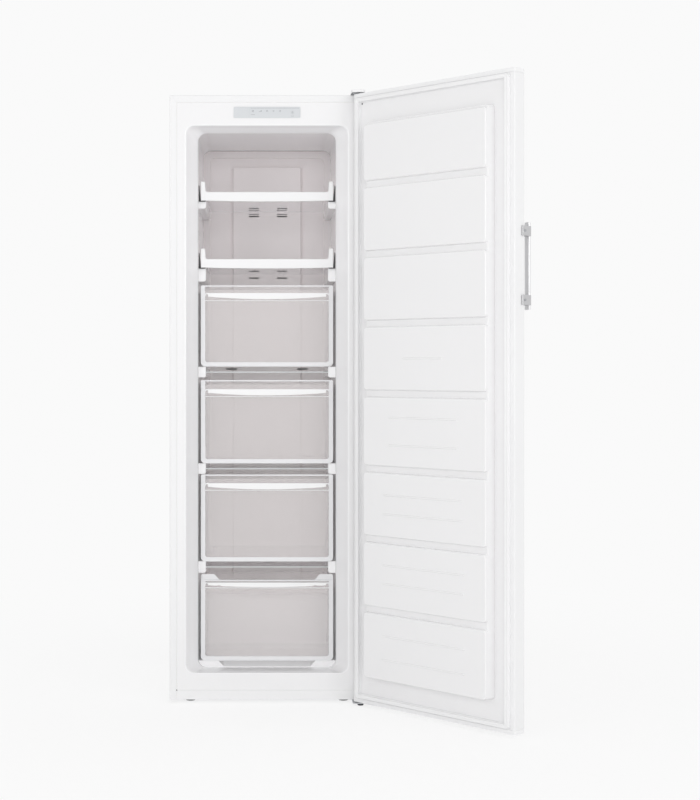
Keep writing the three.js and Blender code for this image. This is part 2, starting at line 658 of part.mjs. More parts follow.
// ---------------------------------------------------------------- cold-air parts behind the cover
function makeDuctCover() {
  const half = CAVITY_HALF_W - GAP;
  const top = CAVITY_TOP - GAP;
  const plate = prism(roundedRect(-half, half, DUCT_BOTTOM, top, [0, 0, CAVITY_R + 1, CAVITY_R + 1]),
    'y', DUCT_Y - RECESS_D, DUCT_Y + DUCT_T);
  const side = half - RECESS_SIDE;
  const recess = prism(
    roundedRect(-side, side, DUCT_BOTTOM + RECESS_FOOT, top - RECESS_SIDE, RECESS_R),
    'y', DUCT_Y - RECESS_D - PAST, DUCT_Y);
  const duct = (grow, back) => prism(
    roundedRect(-DUCT_HALF_W + grow, DUCT_HALF_W - grow, DUCT_BOTTOM + DUCT_FOOT + grow,
      CAVITY_TOP - DUCT_TOP_GAP - grow, DUCT_R),
    'y', DUCT_FRONT + grow, back);
  const body = cut(join(cut(plate, recess), duct(0, DUCT_Y + DUCT_T)), duct(DUCT_T, DUCT_Y + DUCT_T + PAST));
  const slot = (from, to, z, back) => prism(
    roundedRect(from, to, z - SLOT_H / 2, z + SLOT_H / 2, SLOT_H / 2 - 0.1), 'y', DUCT_FRONT - PAST, back, 0.5);
  const pair = (z, w) => [-SLOT_X, SLOT_X].map((x) =>
    slot(x - w / 2, x + w / 2, z, DUCT_FRONT + DUCT_T + PAST));
  const [top1, top2, edge, ...rest] = SLOT_LEVELS.map(level);
  return cut(body, ...pair(top1, TOP_SLOT_W), ...pair(top1 - SLOT_PITCH, TOP_SLOT_W), ...pair(top2, SLOT_W),
    slot(-EDGE_SLOT_OUT, -EDGE_SLOT_IN, edge, DUCT_Y + DUCT_T + PAST),
    slot(EDGE_SLOT_IN, EDGE_SLOT_OUT, edge, DUCT_Y + DUCT_T + PAST),
    ...rest.flatMap((z) => pair(z, SLOT_W)));
}
piece(cabinet, 'duct_cover', makeDuctCover(), whitePlastic());

const EVAP = {
  half: CAVITY_HALF_W - EVAP_SIDE,
  front: DUCT_Y + EVAP_CLEAR,
  back: CAVITY_BACK - EVAP_CLEAR,
  bottom: HUMP_TOP + EVAP_ABOVE_HUMP,
  top: HUMP_TOP + EVAP_ABOVE_HUMP + EVAP_H,
};
function makeEvaporator() {
  const pitch = (EVAP.half * 2 - FIN_T) / (FINS - 1);
  const middle = (EVAP.front + EVAP.back) / 2;
  const fins = Array.from({ length: FINS }, (_, i) => {
    const x = -EVAP.half + i * pitch;
    return [x, x + FIN_T];
  });
  const front = fins.flatMap(([a, b]) => [
    [a, middle - FIN_SPINE], [a, EVAP.front], [b, EVAP.front], [b, middle - FIN_SPINE]]);
  const back = fins.slice().reverse().flatMap(([a, b]) => [
    [b, middle + FIN_SPINE], [b, EVAP.back], [a, EVAP.back], [a, middle + FIN_SPINE]]);
  const comb = prism(polygon([...front, ...back]), 'z', EVAP.bottom, EVAP.top);
  const bends = [-1, 1].flatMap((side) => Array.from({ length: BEND_ROWS }, (_, i) => {
    const z = EVAP.bottom + ((i + 0.5) * EVAP_H) / BEND_ROWS;
    const ends = [side * (EVAP.half + BEND_OUT), side * (EVAP.half - BEND_R)];
    return round('x', BEND_R, Math.min(...ends), Math.max(...ends), middle, z, 10);
  }));
  return join(comb, ...bends);
}
piece(cabinet, 'evaporator', makeEvaporator(), finStock());

// Two tabs hold the evaporator's end rows against the liner's rear wall.
const tabIn = EVAP.half + BEND_OUT + GAP;
const tabOut = EVAP.half + BEND_OUT + BEND_R * 2;
const tabBack = CAVITY_BACK - GAP;
piece(cabinet, 'evaporator_bracket', join(
  block(-tabOut, tabOut, tabBack - TAB_T, tabBack, EVAP.top - TAB_DOWN, EVAP.top + TAB_UP),
  ...[-1, 1].map((side) => block(
    Math.min(side * tabIn, side * tabOut), Math.max(side * tabIn, side * tabOut),
    EVAP.front + BEND_R, tabBack, EVAP.top - TAB_DOWN, EVAP.top + TAB_UP)),
), zincSteel());

// The defrost heater is one bent tube along the evaporator's lower edge.
const heaterZ = EVAP.bottom - HEATER_R - GAP;
const heaterY = EVAP.front + HEATER_Y;
const heaterTurn = EVAP.half - HEATER_BEND;
piece(cabinet, 'defrost_heater', pipe([
  [-EVAP.half, heaterY, heaterZ], [0, heaterY, heaterZ], [heaterTurn, heaterY, heaterZ],
  [EVAP.half, heaterY + HEATER_BEND, heaterZ], [heaterTurn, heaterY + HEATER_BEND * 2, heaterZ],
  [0, heaterY + HEATER_BEND * 2, heaterZ], [-EVAP.half, heaterY + HEATER_BEND * 2, heaterZ]],
HEATER_R, 2), zincSteel());

// The gutter under the heater carries the melt water to an outlet over the compressor bay.
const gutterTop = heaterZ - HEATER_R - GAP;
const gutterX = CAVITY_HALF_W - GUTTER_SIDE;
function makeGutter() {
  const z = HUMP_TOP + GAP;
  const front = DUCT_Y + DUCT_T + 2;
  const form = (inset, from, to) => loft([
    flatRing(-GUTTER_FOOT + inset, GUTTER_FOOT - inset, EVAP.front + 5 + inset, EVAP.back - inset,
      GUTTER_R - inset, from),
    flatRing(-gutterX + inset, gutterX - inset, front + inset, CAVITY_BACK - GAP - inset,
      GUTTER_R - inset, to)]);
  return cut(form(0, z, gutterTop), form(GUTTER_T, z + GUTTER_T, gutterTop + 0.5));
}
piece(cabinet, 'drain_gutter', makeGutter(), whitePlastic());

const FAN_Z = EVAP.top + FAN_OVER_EVAP;
const FAN_Y = DUCT_Y + FAN_BEHIND_COVER;
const shaftFront = FAN_Y + FAN_D / 4;
function makeFanMotor() {
  const plateBack = CAVITY_BACK - GAP;
  const motorFront = FAN_Y + FAN_D + MOTOR_BEHIND_FAN;
  return join(
    block(-MOTOR_PLATE_W, MOTOR_PLATE_W, plateBack - 3, plateBack, FAN_Z - MOTOR_R, FAN_Z + MOTOR_R),
    round('y', MOTOR_R, motorFront, plateBack - 2, 0, FAN_Z, 24),
    round('y', SHAFT_R, shaftFront, motorFront + 2, 0, FAN_Z, 12),
  );
}
piece(cabinet, 'fan_motor', makeFanMotor(), blackPlastic());

function makeFan() {
  const hub = round('y', HUB_R, FAN_Y, FAN_Y + FAN_D, 0, FAN_Z, 24);
  const root = HUB_R - 2;
  const blades = Array.from({ length: BLADES }, (_, i) => {
    const geometry = new THREE.BoxGeometry(FAN_R - root, BLADE_T, BLADE_W);
    geometry.rotateX(THREE.MathUtils.degToRad(BLADE_PITCH));
    geometry.translate((FAN_R + root) / 2, 0, 0);
    geometry.rotateY((i * Math.PI * 2) / BLADES);
    geometry.translate(0, FAN_Y + FAN_D / 2, FAN_Z);
    return toSolid(geometry);
  });
  const bore = round('y', SHAFT_R + BORE_GAP, shaftFront - GAP, FAN_Y + FAN_D + PAST, 0, FAN_Z, 12);
  return cut(join(hub, ...blades), bore);
}
piece(cabinet, 'evaporator_fan', makeFan(), whitePlastic());

// ---------------------------------------------------------------- compressor bay
const POT_Y = BAY_Y + POT_BEHIND;
const BAY_FLOOR = BASE_T + GAP;
const DISH_Z = BAY_TOP - DISH_UNDER - DISH_H;
const POT_Z = BAY_FLOOR + POT_FEET_H;
const POT_H = DISH_Z - GAP - POT_Z;
const POT_PROFILE = [ // radius and height as shares of the pot's; the welded seam stands out
  [0, 0], [0.7, 0], [0.93, 0.06], [1, 0.17], [1, 0.47], [1 + POT_SEAM / POT_R, 0.48],
  [1 + POT_SEAM / POT_R, 0.53], [1, 0.54], [0.96, 0.77], [0.76, 0.91], [0.4, 0.98], [0, 1]];
function makeCompressor() {
  const pot = lathe(POT_PROFILE.map(([r, h]) => [r * POT_R, h * POT_H]), POT_X, POT_Y, POT_Z, 24);
  const plate = block(POT_X - POT_PLATE_X, POT_X + POT_PLATE_X, POT_Y - POT_PLATE_Y, POT_Y + POT_PLATE_Y,
    POT_Z + 2, POT_Z + 5);
  const feet = [-1, 1].flatMap((sx) => [-1, 1].map((sy) => round('z', POT_FOOT_R, BAY_FLOOR, POT_Z + 3,
    POT_X + sx * POT_FOOT_X, POT_Y + sy * POT_FOOT_Y, 12)));
  return join(pot, plate, ...feet);
}
piece(cabinet, 'compressor', makeCompressor(), blackEnamel());

const relayBack = POT_X + POT_R + 4 + RELAY_D;
piece(cabinet, 'relay_box', cut(
  prism(roundedRect(POT_Y - RELAY_HALF_W, POT_Y + RELAY_HALF_W, RELAY_Z, RELAY_Z + RELAY_H, 5), 'x',
    relayBack - RELAY_D - 10, relayBack),
  round('z', POT_R + POT_SEAM + GAP, 0, BAY_TOP, POT_X, POT_Y, 48)), blackPlastic());

// The dish that the melt water runs to stands on the pot, whose warmth dries it.
function makeDish() {
  const form = (inset, from, to) => loft([[DISH_DRAFT, from], [0, to]].map(([draft, z]) => {
    const w = DISH_HALF_W - draft - inset;
    const d = DISH_HALF_D - draft - inset;
    return flatRing(POT_X - w, POT_X + w, POT_Y - d, POT_Y + d, DISH_R - inset, z);
  }));
  return cut(form(0, DISH_Z, DISH_Z + DISH_H), form(DISH_T, DISH_Z + DISH_T, DISH_Z + DISH_H + 0.5));
}
piece(cabinet, 'evaporating_dish', makeDish(), blackPlastic());

// The drier's upper end goes over into the thin capillary pipe, which enters the foam above.
const DRIER_Y = BAY_Y + DRIER_BEHIND;
const capillaryTop = BAY_TOP - GAP - DRIER_Z;
piece(cabinet, 'filter_drier', lathe([[0, 0], [DRIER_R / 2, 0], [DRIER_R, DRIER_NECK],
  [DRIER_R, DRIER_H - DRIER_NECK], [CAPILLARY_R, DRIER_H], [CAPILLARY_R, capillaryTop], [0, capillaryTop]],
DRIER_X, DRIER_Y, DRIER_Z, 16), copper());

// A point beside the compressor's pot, at an angle seen from above and a distance from its wall.
function besidePot(degrees, distance, z) {
  const angle = THREE.MathUtils.degToRad(degrees);
  const reach = POT_R + distance;
  return [POT_X + reach * Math.cos(angle), POT_Y + reach * Math.sin(angle), z];
}
piece(cabinet, 'discharge_pipe', pipe([
  besidePot(-40, GAP, PORT_Z), besidePot(-40, 16, PORT_Z),
  [DRIER_X - PIPE_RUN, POT_Y - POT_PLATE_Y, PORT_Z - 6],
  [DRIER_X - PIPE_RUN / 3, POT_Y - POT_PLATE_Y + 7, PORT_Z - 20],
  [DRIER_X - 6, DRIER_Y - 6, DRIER_Z - 20], [DRIER_X, DRIER_Y, DRIER_Z - 10],
  [DRIER_X, DRIER_Y, DRIER_Z - GAP]], DISCHARGE_R, 4), copper());
piece(cabinet, 'suction_pipe', pipe([
  besidePot(205, GAP, PORT_Z), besidePot(205, 18, PORT_Z), besidePot(207, 34, PORT_Z + 24),
  besidePot(207, 38, BAY_TOP - 60), besidePot(207, 38, BAY_TOP - GAP)], SUCTION_R, 4), copper());

// The supply enters through a gland on the terminal box.
const termRight = HALF_W - TERM_SIDE;
const termBack = BODY_D - TERM_BACK;
piece(cabinet, 'terminal_box', join(
  prism(roundedRect(termRight - TERM_W, termRight, termBack - TERM_D, termBack, TERM_R), 'z',
    BAY_FLOOR, BAY_FLOOR + TERM_H),
  round('y', GLAND_R, termBack - 2, BODY_D - BASE_T - GAP, termRight - TERM_W / 2, GLAND_Z, 20)),
blackPlastic());

// ---------------------------------------------------------------- control panel
const PANEL_FACE = -GAP - PANEL_T;
function makeControlPanel() {
  const plate = prism(roundedRect(-PANEL_X, PANEL_X, PANEL_BOTTOM, PANEL_TOP, PANEL_R), 'y', PANEL_FACE, -GAP);
  const housing = (inset, front, back) => block(-BOX_HALF_W + inset, BOX_HALF_W - inset, front, back,
    PANEL_MIDDLE - BOX_HALF_H + inset, PANEL_MIDDLE + BOX_HALF_H - inset);
  const box = cut(housing(0, -GAP - 0.2, BOX_D), housing(BOX_T, -GAP, BOX_D + PAST));
  const divider = block(PANEL_DIVIDER_X - GROOVE_HALF, PANEL_DIVIDER_X + GROOVE_HALF, PANEL_FACE - PAST,
    PANEL_FACE + GROOVE_DEPTH, PANEL_BOTTOM + 2, PANEL_TOP - 2);
  const hole = round('y', BUTTON_R + GAP, PANEL_FACE - PAST, PAST, BUTTON_X, PANEL_MIDDLE, 24);
  return cut(join(plate, box), divider, hole);
}
piece(cabinet, 'control_panel', makeControlPanel(), greyPanel());

piece(cabinet, 'control_button', join(
  round('y', BUTTON_R, PANEL_FACE - BUTTON_TRAVEL - BUTTON_PROUD, BUTTON_END, BUTTON_X, PANEL_MIDDLE, 24),
  round('y', BUTTON_R + BUTTON_COLLAR, 1, BUTTON_END, BUTTON_X, PANEL_MIDDLE, 24)), greyPanel());
const BOARD_Y = BUTTON_END + BUTTON_TRAVEL + GAP;
const boardIn = BOX_T + GAP;
piece(cabinet, 'control_board', block(
  -BOX_HALF_W + boardIn, BOX_HALF_W - boardIn, BOARD_Y, BOARD_Y + BOARD_T,
  PANEL_MIDDLE - BOX_HALF_H + boardIn, PANEL_MIDDLE + BOX_HALF_H - boardIn), greenBoard());

// ---------------------------------------------------------------- hinges
const ARM_END = PIVOT_Y - HINGE_FRONT;
function hingePlate(z0, z1) {
  const outline = roundedRect(PIVOT_X - HINGE_IN, PIVOT_X + HINGE_OUT, ARM_END, HINGE_BACK,
    [HINGE_R, HINGE_R, 3, 3]);
  return prism(outline, 'z', z0, z1);
}
const onPivot = (radius, z0, z1) => round('z', radius, z0, z1, PIVOT_X, PIVOT_Y, 20);
const pinHole = (z0, z1) => onPivot(PIN_R + BORE_GAP, z0, z1);
const plateBottom = BODY_H + GAP;
const plateTop = plateBottom + HINGE_T;
piece(cabinet, 'top_hinge_bracket',
  cut(hingePlate(plateBottom, plateTop), pinHole(plateBottom - PAST, plateTop + PAST)), zincSteel());
piece(cabinet, 'top_hinge_pin', join(
  onPivot(PIN_R, DOOR_TOP - PIN_DEPTH, plateTop + 1),
  onPivot(PIN_R + PIN_HEAD, plateTop + GAP, plateTop + 2)), zincSteel());
function makeHingeCover() {
  const top = plateTop + COVER_H;
  const form = (inset, from, to) => prism(
    roundedRect(PIVOT_X - HINGE_IN - COVER_OVER + inset, HALF_W - inset, ARM_END - COVER_OVER + inset,
      HINGE_BACK + COVER_OVER * 2 - inset, [HINGE_R + 2 - inset, HINGE_R + 2 - inset, 3, 3]), 'z', from, to);
  return cut(form(0, plateBottom, top), form(COVER_OVER / 2, plateBottom - PAST, top - COVER_T));
}
piece(cabinet, 'top_hinge_cover', makeHingeCover(), whitePlastic());

piece(cabinet, 'bottom_hinge_bracket',
  cut(hingePlate(-GAP - HINGE_T, -GAP), pinHole(-GAP - HINGE_T - PAST, PAST)), zincSteel());
piece(cabinet, 'bottom_hinge_pin', join(
  onPivot(PIN_R, -HINGE_T - 4, DOOR_BOTTOM + PIN_DEPTH),
  onPivot(SUPPORT_R, -FOOT_H, -GAP - HINGE_T - GAP)), blackPlastic());

// ---------------------------------------------------------------- feet
const footX = HALF_W - FOOT_SIDE;
const rearFootY = BODY_D - REAR_FOOT_BACK;
for (const [side, word] of [[-1, 'left'], [1, 'right']]) {
  const x = side * footX;
  piece(cabinet, `front_foot_${word}`, lathe([[0, 0], [FOOT_R - 1, 0], [FOOT_R, FOOT_H * 0.2],
    [FOOT_R - 3, FOOT_H * 0.65], [STUD_R, FOOT_H * 0.65], [STUD_R, FOOT_H - GAP], [0, FOOT_H - GAP]],
  x, FRONT_FOOT_Y, -FOOT_H, 16), blackPlastic());
  piece(cabinet, `rear_foot_${word}`, prism(
    roundedRect(x - REAR_FOOT_W / 2, x + REAR_FOOT_W / 2, rearFootY - REAR_FOOT_L / 2,
      rearFootY + REAR_FOOT_L / 2, 6), 'z', -FOOT_H, -GAP), blackPlastic());
}

// ---------------------------------------------------------------- shelves
// A rail with its two posts, seen from the front; its lower edge bows down between the side walls.
function railOutline(bottom, top) {
  const x = RAIL_HALF_W;
  const rail = new THREE.Shape();
  rail.moveTo(-x, bottom);
  rail.quadraticCurveTo(0, bottom - RAIL_BOW * 2, x, bottom);
  rail.lineTo(x, top + POST_H - POST_R);
  rail.absarc(x - POST_R, top + POST_H - POST_R, POST_R, 0, Math.PI / 2);
  rail.lineTo(x - POST_W + POST_DRAFT, top + POST_H);
  rail.lineTo(x - POST_W, top + RAIL_R);
  rail.absarc(x - POST_W - RAIL_R, top + RAIL_R, RAIL_R, 0, -Math.PI / 2, true);
  rail.lineTo(-x + POST_W + RAIL_R, top);
  rail.absarc(-x + POST_W + RAIL_R, top + RAIL_R, RAIL_R, -Math.PI / 2, -Math.PI, true);
  rail.lineTo(-x + POST_W - POST_DRAFT, top + POST_H);
  rail.lineTo(-x + POST_R, top + POST_H);
  rail.absarc(-x + POST_R, top + POST_H - POST_R, POST_R, Math.PI / 2, Math.PI);
  return rail;
}

shelfRibs.forEach((rib, i) => {
  const seat = rib.top + GAP;
  const top = seat + RAIL_H;
  const glassFront = RAIL_FRONT + RAIL_LIP;
  const glassX = RAIL_HALF_W - RAIL_WALL;
  const railBack = RAIL_FRONT + RAIL_D + PAST;
  piece(cabinet, `glass_shelf_${i + 1}`, prism(
    roundedRect(-glassX, glassX, glassFront + GAP, DUCT_FRONT - GLASS_CLEAR, PLATE_R), 'z',
    seat, seat + PLATE_T), clearGlass());
  const bar = prism(railOutline(rib.top, top), 'y', RAIL_FRONT, RAIL_FRONT + RAIL_D, 4);
  const groove = block(-glassX - GAP, glassX + GAP, glassFront, railBack, rib.top, seat + PLATE_T + GAP);
  const relief = block(-RAIL_HALF_W + POST_W + POST_DRAFT, RAIL_HALF_W - POST_W - POST_DRAFT,
    RAIL_FRONT + RAIL_WALL, railBack, seat + PLATE_T + RAIL_WALL, top - POST_R);
  const ribRelief = block(-RAIL_HALF_W - PAST, RAIL_HALF_W + PAST, RIB_FRONT - GAP, railBack,
    rib.top - rib.height, seat);
  piece(cabinet, `shelf_rail_${i + 1}`, cut(bar, groove, relief, ribRelief), whitePlastic());
});

plateRibs.forEach((rib, i) => {
  const middle = plateMiddle(rib);
  const half = CAVITY_HALF_W - PLATE_SIDE_GAP - GAP;
  piece(cabinet, `glass_plate_${i + 1}`, prism(
    roundedRect(-half, half, PLATE_FRONT + GAP, DUCT_FRONT - GLASS_CLEAR, PLATE_R), 'z',
    middle - PLATE_T / 2, middle + PLATE_T / 2), clearGlass());
});

// ---------------------------------------------------------------- drawers
const drawerFloors = [...plateRibs.map((rib) => rib.top), SILL_TOP];
const upperBack = DUCT_FRONT - TUB_CLEAR - TUB_RIM;
const tubBacks = [upperBack, upperBack, upperBack, HUMP_Y - HUMP_CLEAR];

function makeDrawerFront(bottom, top, ears) {
  const w = DRAWER_HALF_W;
  const back = DRAWER_FRONT_Y + DRAWER_FRONT_D;
  const face = prism(roundedRect(-w, w, bottom, top,
    [DRAWER_CORNER_R, DRAWER_CORNER_R, DRAWER_TOP_R, DRAWER_TOP_R]), 'y', DRAWER_FRONT_Y, back);
  const window = prism(
    roundedRect(-w + FRAME_W, w - FRAME_W, bottom + FRAME_W, top - GRIP_BELOW_TOP, WINDOW_R),
    'y', DRAWER_FRONT_Y - PAST, back - PANE_T);
  const brow = block(-w + FRAME_W, w - FRAME_W, DRAWER_FRONT_Y - PAST, back - PANE_T,
    top - GRIP_BELOW_TOP + BROW_GAP, top - BROW_TOP);
  let front = cut(face, window, brow);
  if (ears) {
    const corners = [-1, 1].map((side) => prism(polygon([
      [side * w, top - DRAWER_TOP_R], [side * w, top + EAR_H], [side * (w - EAR_W), top + EAR_H],
      [side * (w - EAR_W - EAR_SLOPE), top - DRAWER_TOP_R]]), 'y', back - PANE_T, back));
    front = join(front, ...corners);
  }
  // The grip is a hood that bows down in the middle and is open underneath.
  const hood = (inset, drop, y0, y1) => {
    const x = w - GRIP_INSET - inset;
    const line = top - GRIP_BELOW_TOP - inset;
    const shape = new THREE.Shape();
    shape.moveTo(x, line);
    shape.lineTo(-x, line);
    shape.lineTo(-x, line - GRIP_END_H - drop);
    shape.quadraticCurveTo(0, line - 2 * GRIP_MID_H + GRIP_END_H - drop, x, line - GRIP_END_H - drop);
    return prism(shape, 'y', y0, y1, 8);
  };
  const outer = hood(0, 0, DRAWER_FRONT_Y - GRIP_D, back - PANE_T / 2);
  const inner = hood(GRIP_T, GRIP_T * 3, DRAWER_FRONT_Y - GRIP_D + GRIP_T, back - PANE_T);
  return join(front, cut(outer, inner));
}

function makeTub(bottom, top, back) {
  const front = DRAWER_FRONT_Y + DRAWER_FRONT_D + GAP;
  const upper = DRAWER_HALF_W - TUB_IN;
  const lower = upper - TUB_TAPER;
  const rimX = upper + TUB_RIM;
  const shell = loft([
    flatRing(-lower, lower, front, back - TUB_TAPER, TUB_R, bottom),
    flatRing(-upper, upper, front, back, TUB_R, top)]);
  const rim = loft([
    flatRing(-rimX, rimX, front, back + TUB_RIM, TUB_R + TUB_T, top - TUB_RIM_T),
    flatRing(-rimX, rimX, front, back + TUB_RIM, TUB_R + TUB_T, top)]);
  const hollow = loft([
    flatRing(-lower + TUB_T, lower - TUB_T, front + TUB_T, back - TUB_TAPER - TUB_T, TUB_R - TUB_T,
      bottom + TUB_T),
    flatRing(-upper + TUB_T, upper - TUB_T, front + TUB_T, back - TUB_T, TUB_R - TUB_T, top + 0.5)]);
  return cut(join(shell, rim), hollow);
}

DRAWER_LEVELS.forEach((share, i) => {
  const top = level(share);
  const bottom = drawerFloors[i] + GAP;
  piece(cabinet, `drawer_${i + 1}_front`, makeDrawerFront(bottom, top, i === 3), clearPlastic());
  piece(cabinet, `drawer_${i + 1}_tub`, makeTub(bottom, top - TUB_DROP, tubBacks[i]), clearPlastic());
});

// ---------------------------------------------------------------- door
const SKIN_BOTTOM = DOOR_BOTTOM + CAP_H + GAP;
const SKIN_TOP = DOOR_TOP - CAP_H - GAP;
// Plan of the door, drawn inwards by inset: round outside edges, tight inside ones.
const doorPlan = (inset) => roundedRect(-DOOR_HALF_W + inset, DOOR_HALF_W - inset, DOOR_OUT + inset,
  DOOR_IN - inset, [DOOR_R - inset, DOOR_R - inset, DOOR_IN_R - inset, DOOR_IN_R - inset]);

piece(door, 'door_skin', cut(
  prism(doorPlan(0), 'z', SKIN_BOTTOM, SKIN_TOP, 3),
  prism(doorPlan(SHEET), 'z', SKIN_BOTTOM - PAST, SKIN_TOP + PAST, 3),
  block(-DOOR_HALF_W + LIP_W, DOOR_HALF_W - LIP_W, DOOR_IN - SHEET - PAST, DOOR_IN + PAST,
    SKIN_BOTTOM - PAST, SKIN_TOP + PAST)), whitePaint());

const bushHole = (z0, z1) => onPivot(BUSH_R + GAP, z0 - PAST, z1 + PAST);
const capBody = (z0, z1) => prism(doorPlan(0), 'z', z0, z1, 3);
piece(door, 'door_top_cap', cut(
  capBody(DOOR_TOP - CAP_H, DOOR_TOP), bushHole(DOOR_TOP - CAP_H, DOOR_TOP)), whitePlastic());
piece(door, 'door_bottom_cap', cut(
  capBody(DOOR_BOTTOM, DOOR_BOTTOM + CAP_H), bushHole(DOOR_BOTTOM, DOOR_BOTTOM + CAP_H)), whitePlastic());
function bush(z0, z1) {
  return cut(onPivot(BUSH_R, z0, z1), pinHole(z0 - PAST, z1 + PAST));
}
piece(door, 'top_hinge_bush', bush(DOOR_TOP - CAP_H, DOOR_TOP + 1), blackPlastic());
piece(door, 'bottom_hinge_bush', bush(DOOR_BOTTOM - 1, DOOR_BOTTOM + CAP_H), blackPlastic());
piece(door, 'door_stop_plate', cut(
  prism(roundedRect(PIVOT_X - STOP_L, PIVOT_X + BUSH_R, PIVOT_Y - STOP_HALF_W, PIVOT_Y + STOP_HALF_W, 6), 'z',
    DOOR_BOTTOM - GAP - STOP_T, DOOR_BOTTOM - GAP),
  bushHole(0, DOOR_BOTTOM)), zincSteel());

// The raised field of the door liner, drawn inwards by inset: a base with eight panels on it.
const grooves = GROOVE_LEVELS.map((share) => FIELD_BOTTOM + share * (FIELD_TOP - FIELD_BOTTOM));
const panelEdges = [FIELD_TOP, ...grooves.flatMap((edge) => [edge, edge - GROOVE_W]), FIELD_BOTTOM];
const doorPanels = Array.from({ length: panelEdges.length / 2 }, (_, i) =>
  ({ top: panelEdges[2 * i], bottom: panelEdges[2 * i + 1] })).reverse();

function raisedField(inset, root) {
  const mound = (bottom, top, from, to, radius, draft) => {
    const w = FIELD_HALF_W - inset;
    const r = radius - inset;
    return loft([
      uprightRing(-w, w, bottom + inset, top - inset, r, from),
      uprightRing(-w + draft, w - draft, bottom + inset + draft, top - inset - draft, r, to)]);
  };
  const base = DOOR_IN + FIELD_D - inset;
  const face = base + PANEL_RAISE;
  const bed = mound(FIELD_BOTTOM, FIELD_TOP, root, base, FIELD_R, FIELD_DRAFT / 2);
  const panels = doorPanels.map(({ bottom, top }) =>
    mound(bottom, top, root, face, FIELD_PANEL_R, FIELD_DRAFT));
  return join(bed, ...panels);
}

function makeDoorLiner() {
  const half = DOOR_HALF_W - LIP_W + LINER_TUCK;
  const border = block(-half, half, DOOR_LINER_Y - LINER_T, DOOR_LINER_Y, SKIN_BOTTOM, SKIN_TOP);
  const face = DOOR_IN + FIELD_D + PANEL_RAISE;
  const lines = EMBOSS.flatMap(({ panel, reach, levels }) => levels.map((share) => {
    const { bottom, top } = doorPanels[panel];
    const z = (top + bottom) / 2 + share * (top - bottom);
    const x = reach * FIELD_HALF_W;
    return prism(roundedRect(-x, x, z - EMBOSS_W / 2, z + EMBOSS_W / 2, EMBOSS_W / 2 - 0.1), 'y',
      face - 0.5, face + EMBOSS_H, 0.5);
  }));
  return cut(
    join(border, raisedField(0, DOOR_LINER_Y - 0.5), ...lines),
    raisedField(LINER_T, DOOR_LINER_Y - LINER_T - 1));
}
piece(door, 'door_liner', makeDoorLiner(), paleLiner());

function makeDoorFoam() {
  const slab = prism(roundedRect(
    -DOOR_HALF_W + SHEET + GAP, DOOR_HALF_W - SHEET - GAP, DOOR_OUT + SHEET + GAP, DOOR_LINER_Y - LINER_T - GAP,
    [DOOR_R - SHEET - GAP, DOOR_R - SHEET - GAP, 1, 1]), 'z', SKIN_BOTTOM, SKIN_TOP);
  return cut(join(slab, raisedField(LINER_T + GAP, DOOR_LINER_Y - LINER_T - 2)),
    pinHole(DOOR_TOP - PIN_DEPTH - 2, DOOR_TOP), pinHole(DOOR_BOTTOM, DOOR_BOTTOM + PIN_DEPTH + 2));
}
piece(door, 'door_foam', makeDoorFoam(), foam());

function makeGasket() {
  const outer = LIP_W + GAP;
  const ring = (edge, y0, y1) => prism(roundedRect(-DOOR_HALF_W + edge, DOOR_HALF_W - edge,
    DOOR_BOTTOM + edge, DOOR_TOP - edge, GASKET_R), 'y', y0, y1, 1);
  const base = DOOR_LINER_Y + GAP;
  const head = -GAP - GASKET_HEAD_T;
  const frame = (inset, y0, y1) =>
    cut(ring(outer + inset, y0, y1), ring(outer + GASKET_W - inset, y0 - PAST, y1 + PAST));
  return join(frame(0, base, base + GASKET_BASE_T), frame(3, base + 2, head + 1), frame(1, head, -GAP));
}
piece(door, 'door_gasket', makeGasket(), softRubber());

// ---------------------------------------------------------------- handle, on the door's free edge
const EDGE_X = -DOOR_HALF_W; // face that the brackets are screwed to
const BAR_BACK = DOOR_OUT - HANDLE_REACH + BAR_T;
const BAR_X0 = EDGE_X + BAR_OFFSET;
const HANDLE_Z = HANDLE_LEVEL * BODY_H;
for (const [word, side] of [['upper', 1], ['lower', -1]]) {
  const z = HANDLE_Z + side * (HANDLE_L / 2 - BRACKET_IN);
  const strap = new THREE.Shape();
  const outside = EDGE_X - GAP - BRACKET_T;
  const tail = DOOR_OUT + BRACKET_GRIP;
  strap.moveTo(EDGE_X - GAP, tail);
  strap.lineTo(outside + BRACKET_EASE, tail);
  strap.absarc(outside + BRACKET_EASE, tail - BRACKET_EASE, BRACKET_EASE, Math.PI / 2, Math.PI);
  strap.lineTo(outside, BAR_BACK + BRACKET_BEND);
  strap.quadraticCurveTo(outside, BAR_BACK + GAP, outside + BRACKET_BEND, BAR_BACK + GAP);
  strap.lineTo(BAR_X0 + BAR_W, BAR_BACK + GAP);
  strap.lineTo(BAR_X0 + BAR_W, BAR_BACK + BRACKET_T + 1);
  strap.lineTo(EDGE_X + 6, BAR_BACK + BRACKET_T + 1);
  strap.quadraticCurveTo(EDGE_X - GAP, BAR_BACK + BRACKET_T + 1, EDGE_X - GAP, BAR_BACK + BRACKET_T + 8);
  piece(door, `handle_bracket_${word}`,
    prism(strap, 'z', z - BRACKET_H / 2, z + BRACKET_H / 2, 6), brushedMetal());
}
piece(door, 'handle_bar', prism(
  roundedRect(BAR_X0, BAR_X0 + BAR_W, BAR_BACK - BAR_T, BAR_BACK, BAR_R), 'z',
  HANDLE_Z - HANDLE_L / 2, HANDLE_Z + HANDLE_L / 2), brushedMetal());

// ---------------------------------------------------------------- origin
// The origin is on the floor, under the middle of the whole freezer with its door open.
freezer.updateMatrixWorld(true);
const extent = new THREE.Box3().setFromObject(freezer, true);
freezer.position.set(-(extent.min.x + extent.max.x) / 2, -(extent.min.y + extent.max.y) / 2, 0);
freezer.updateMatrixWorld(true);

export default freezer;
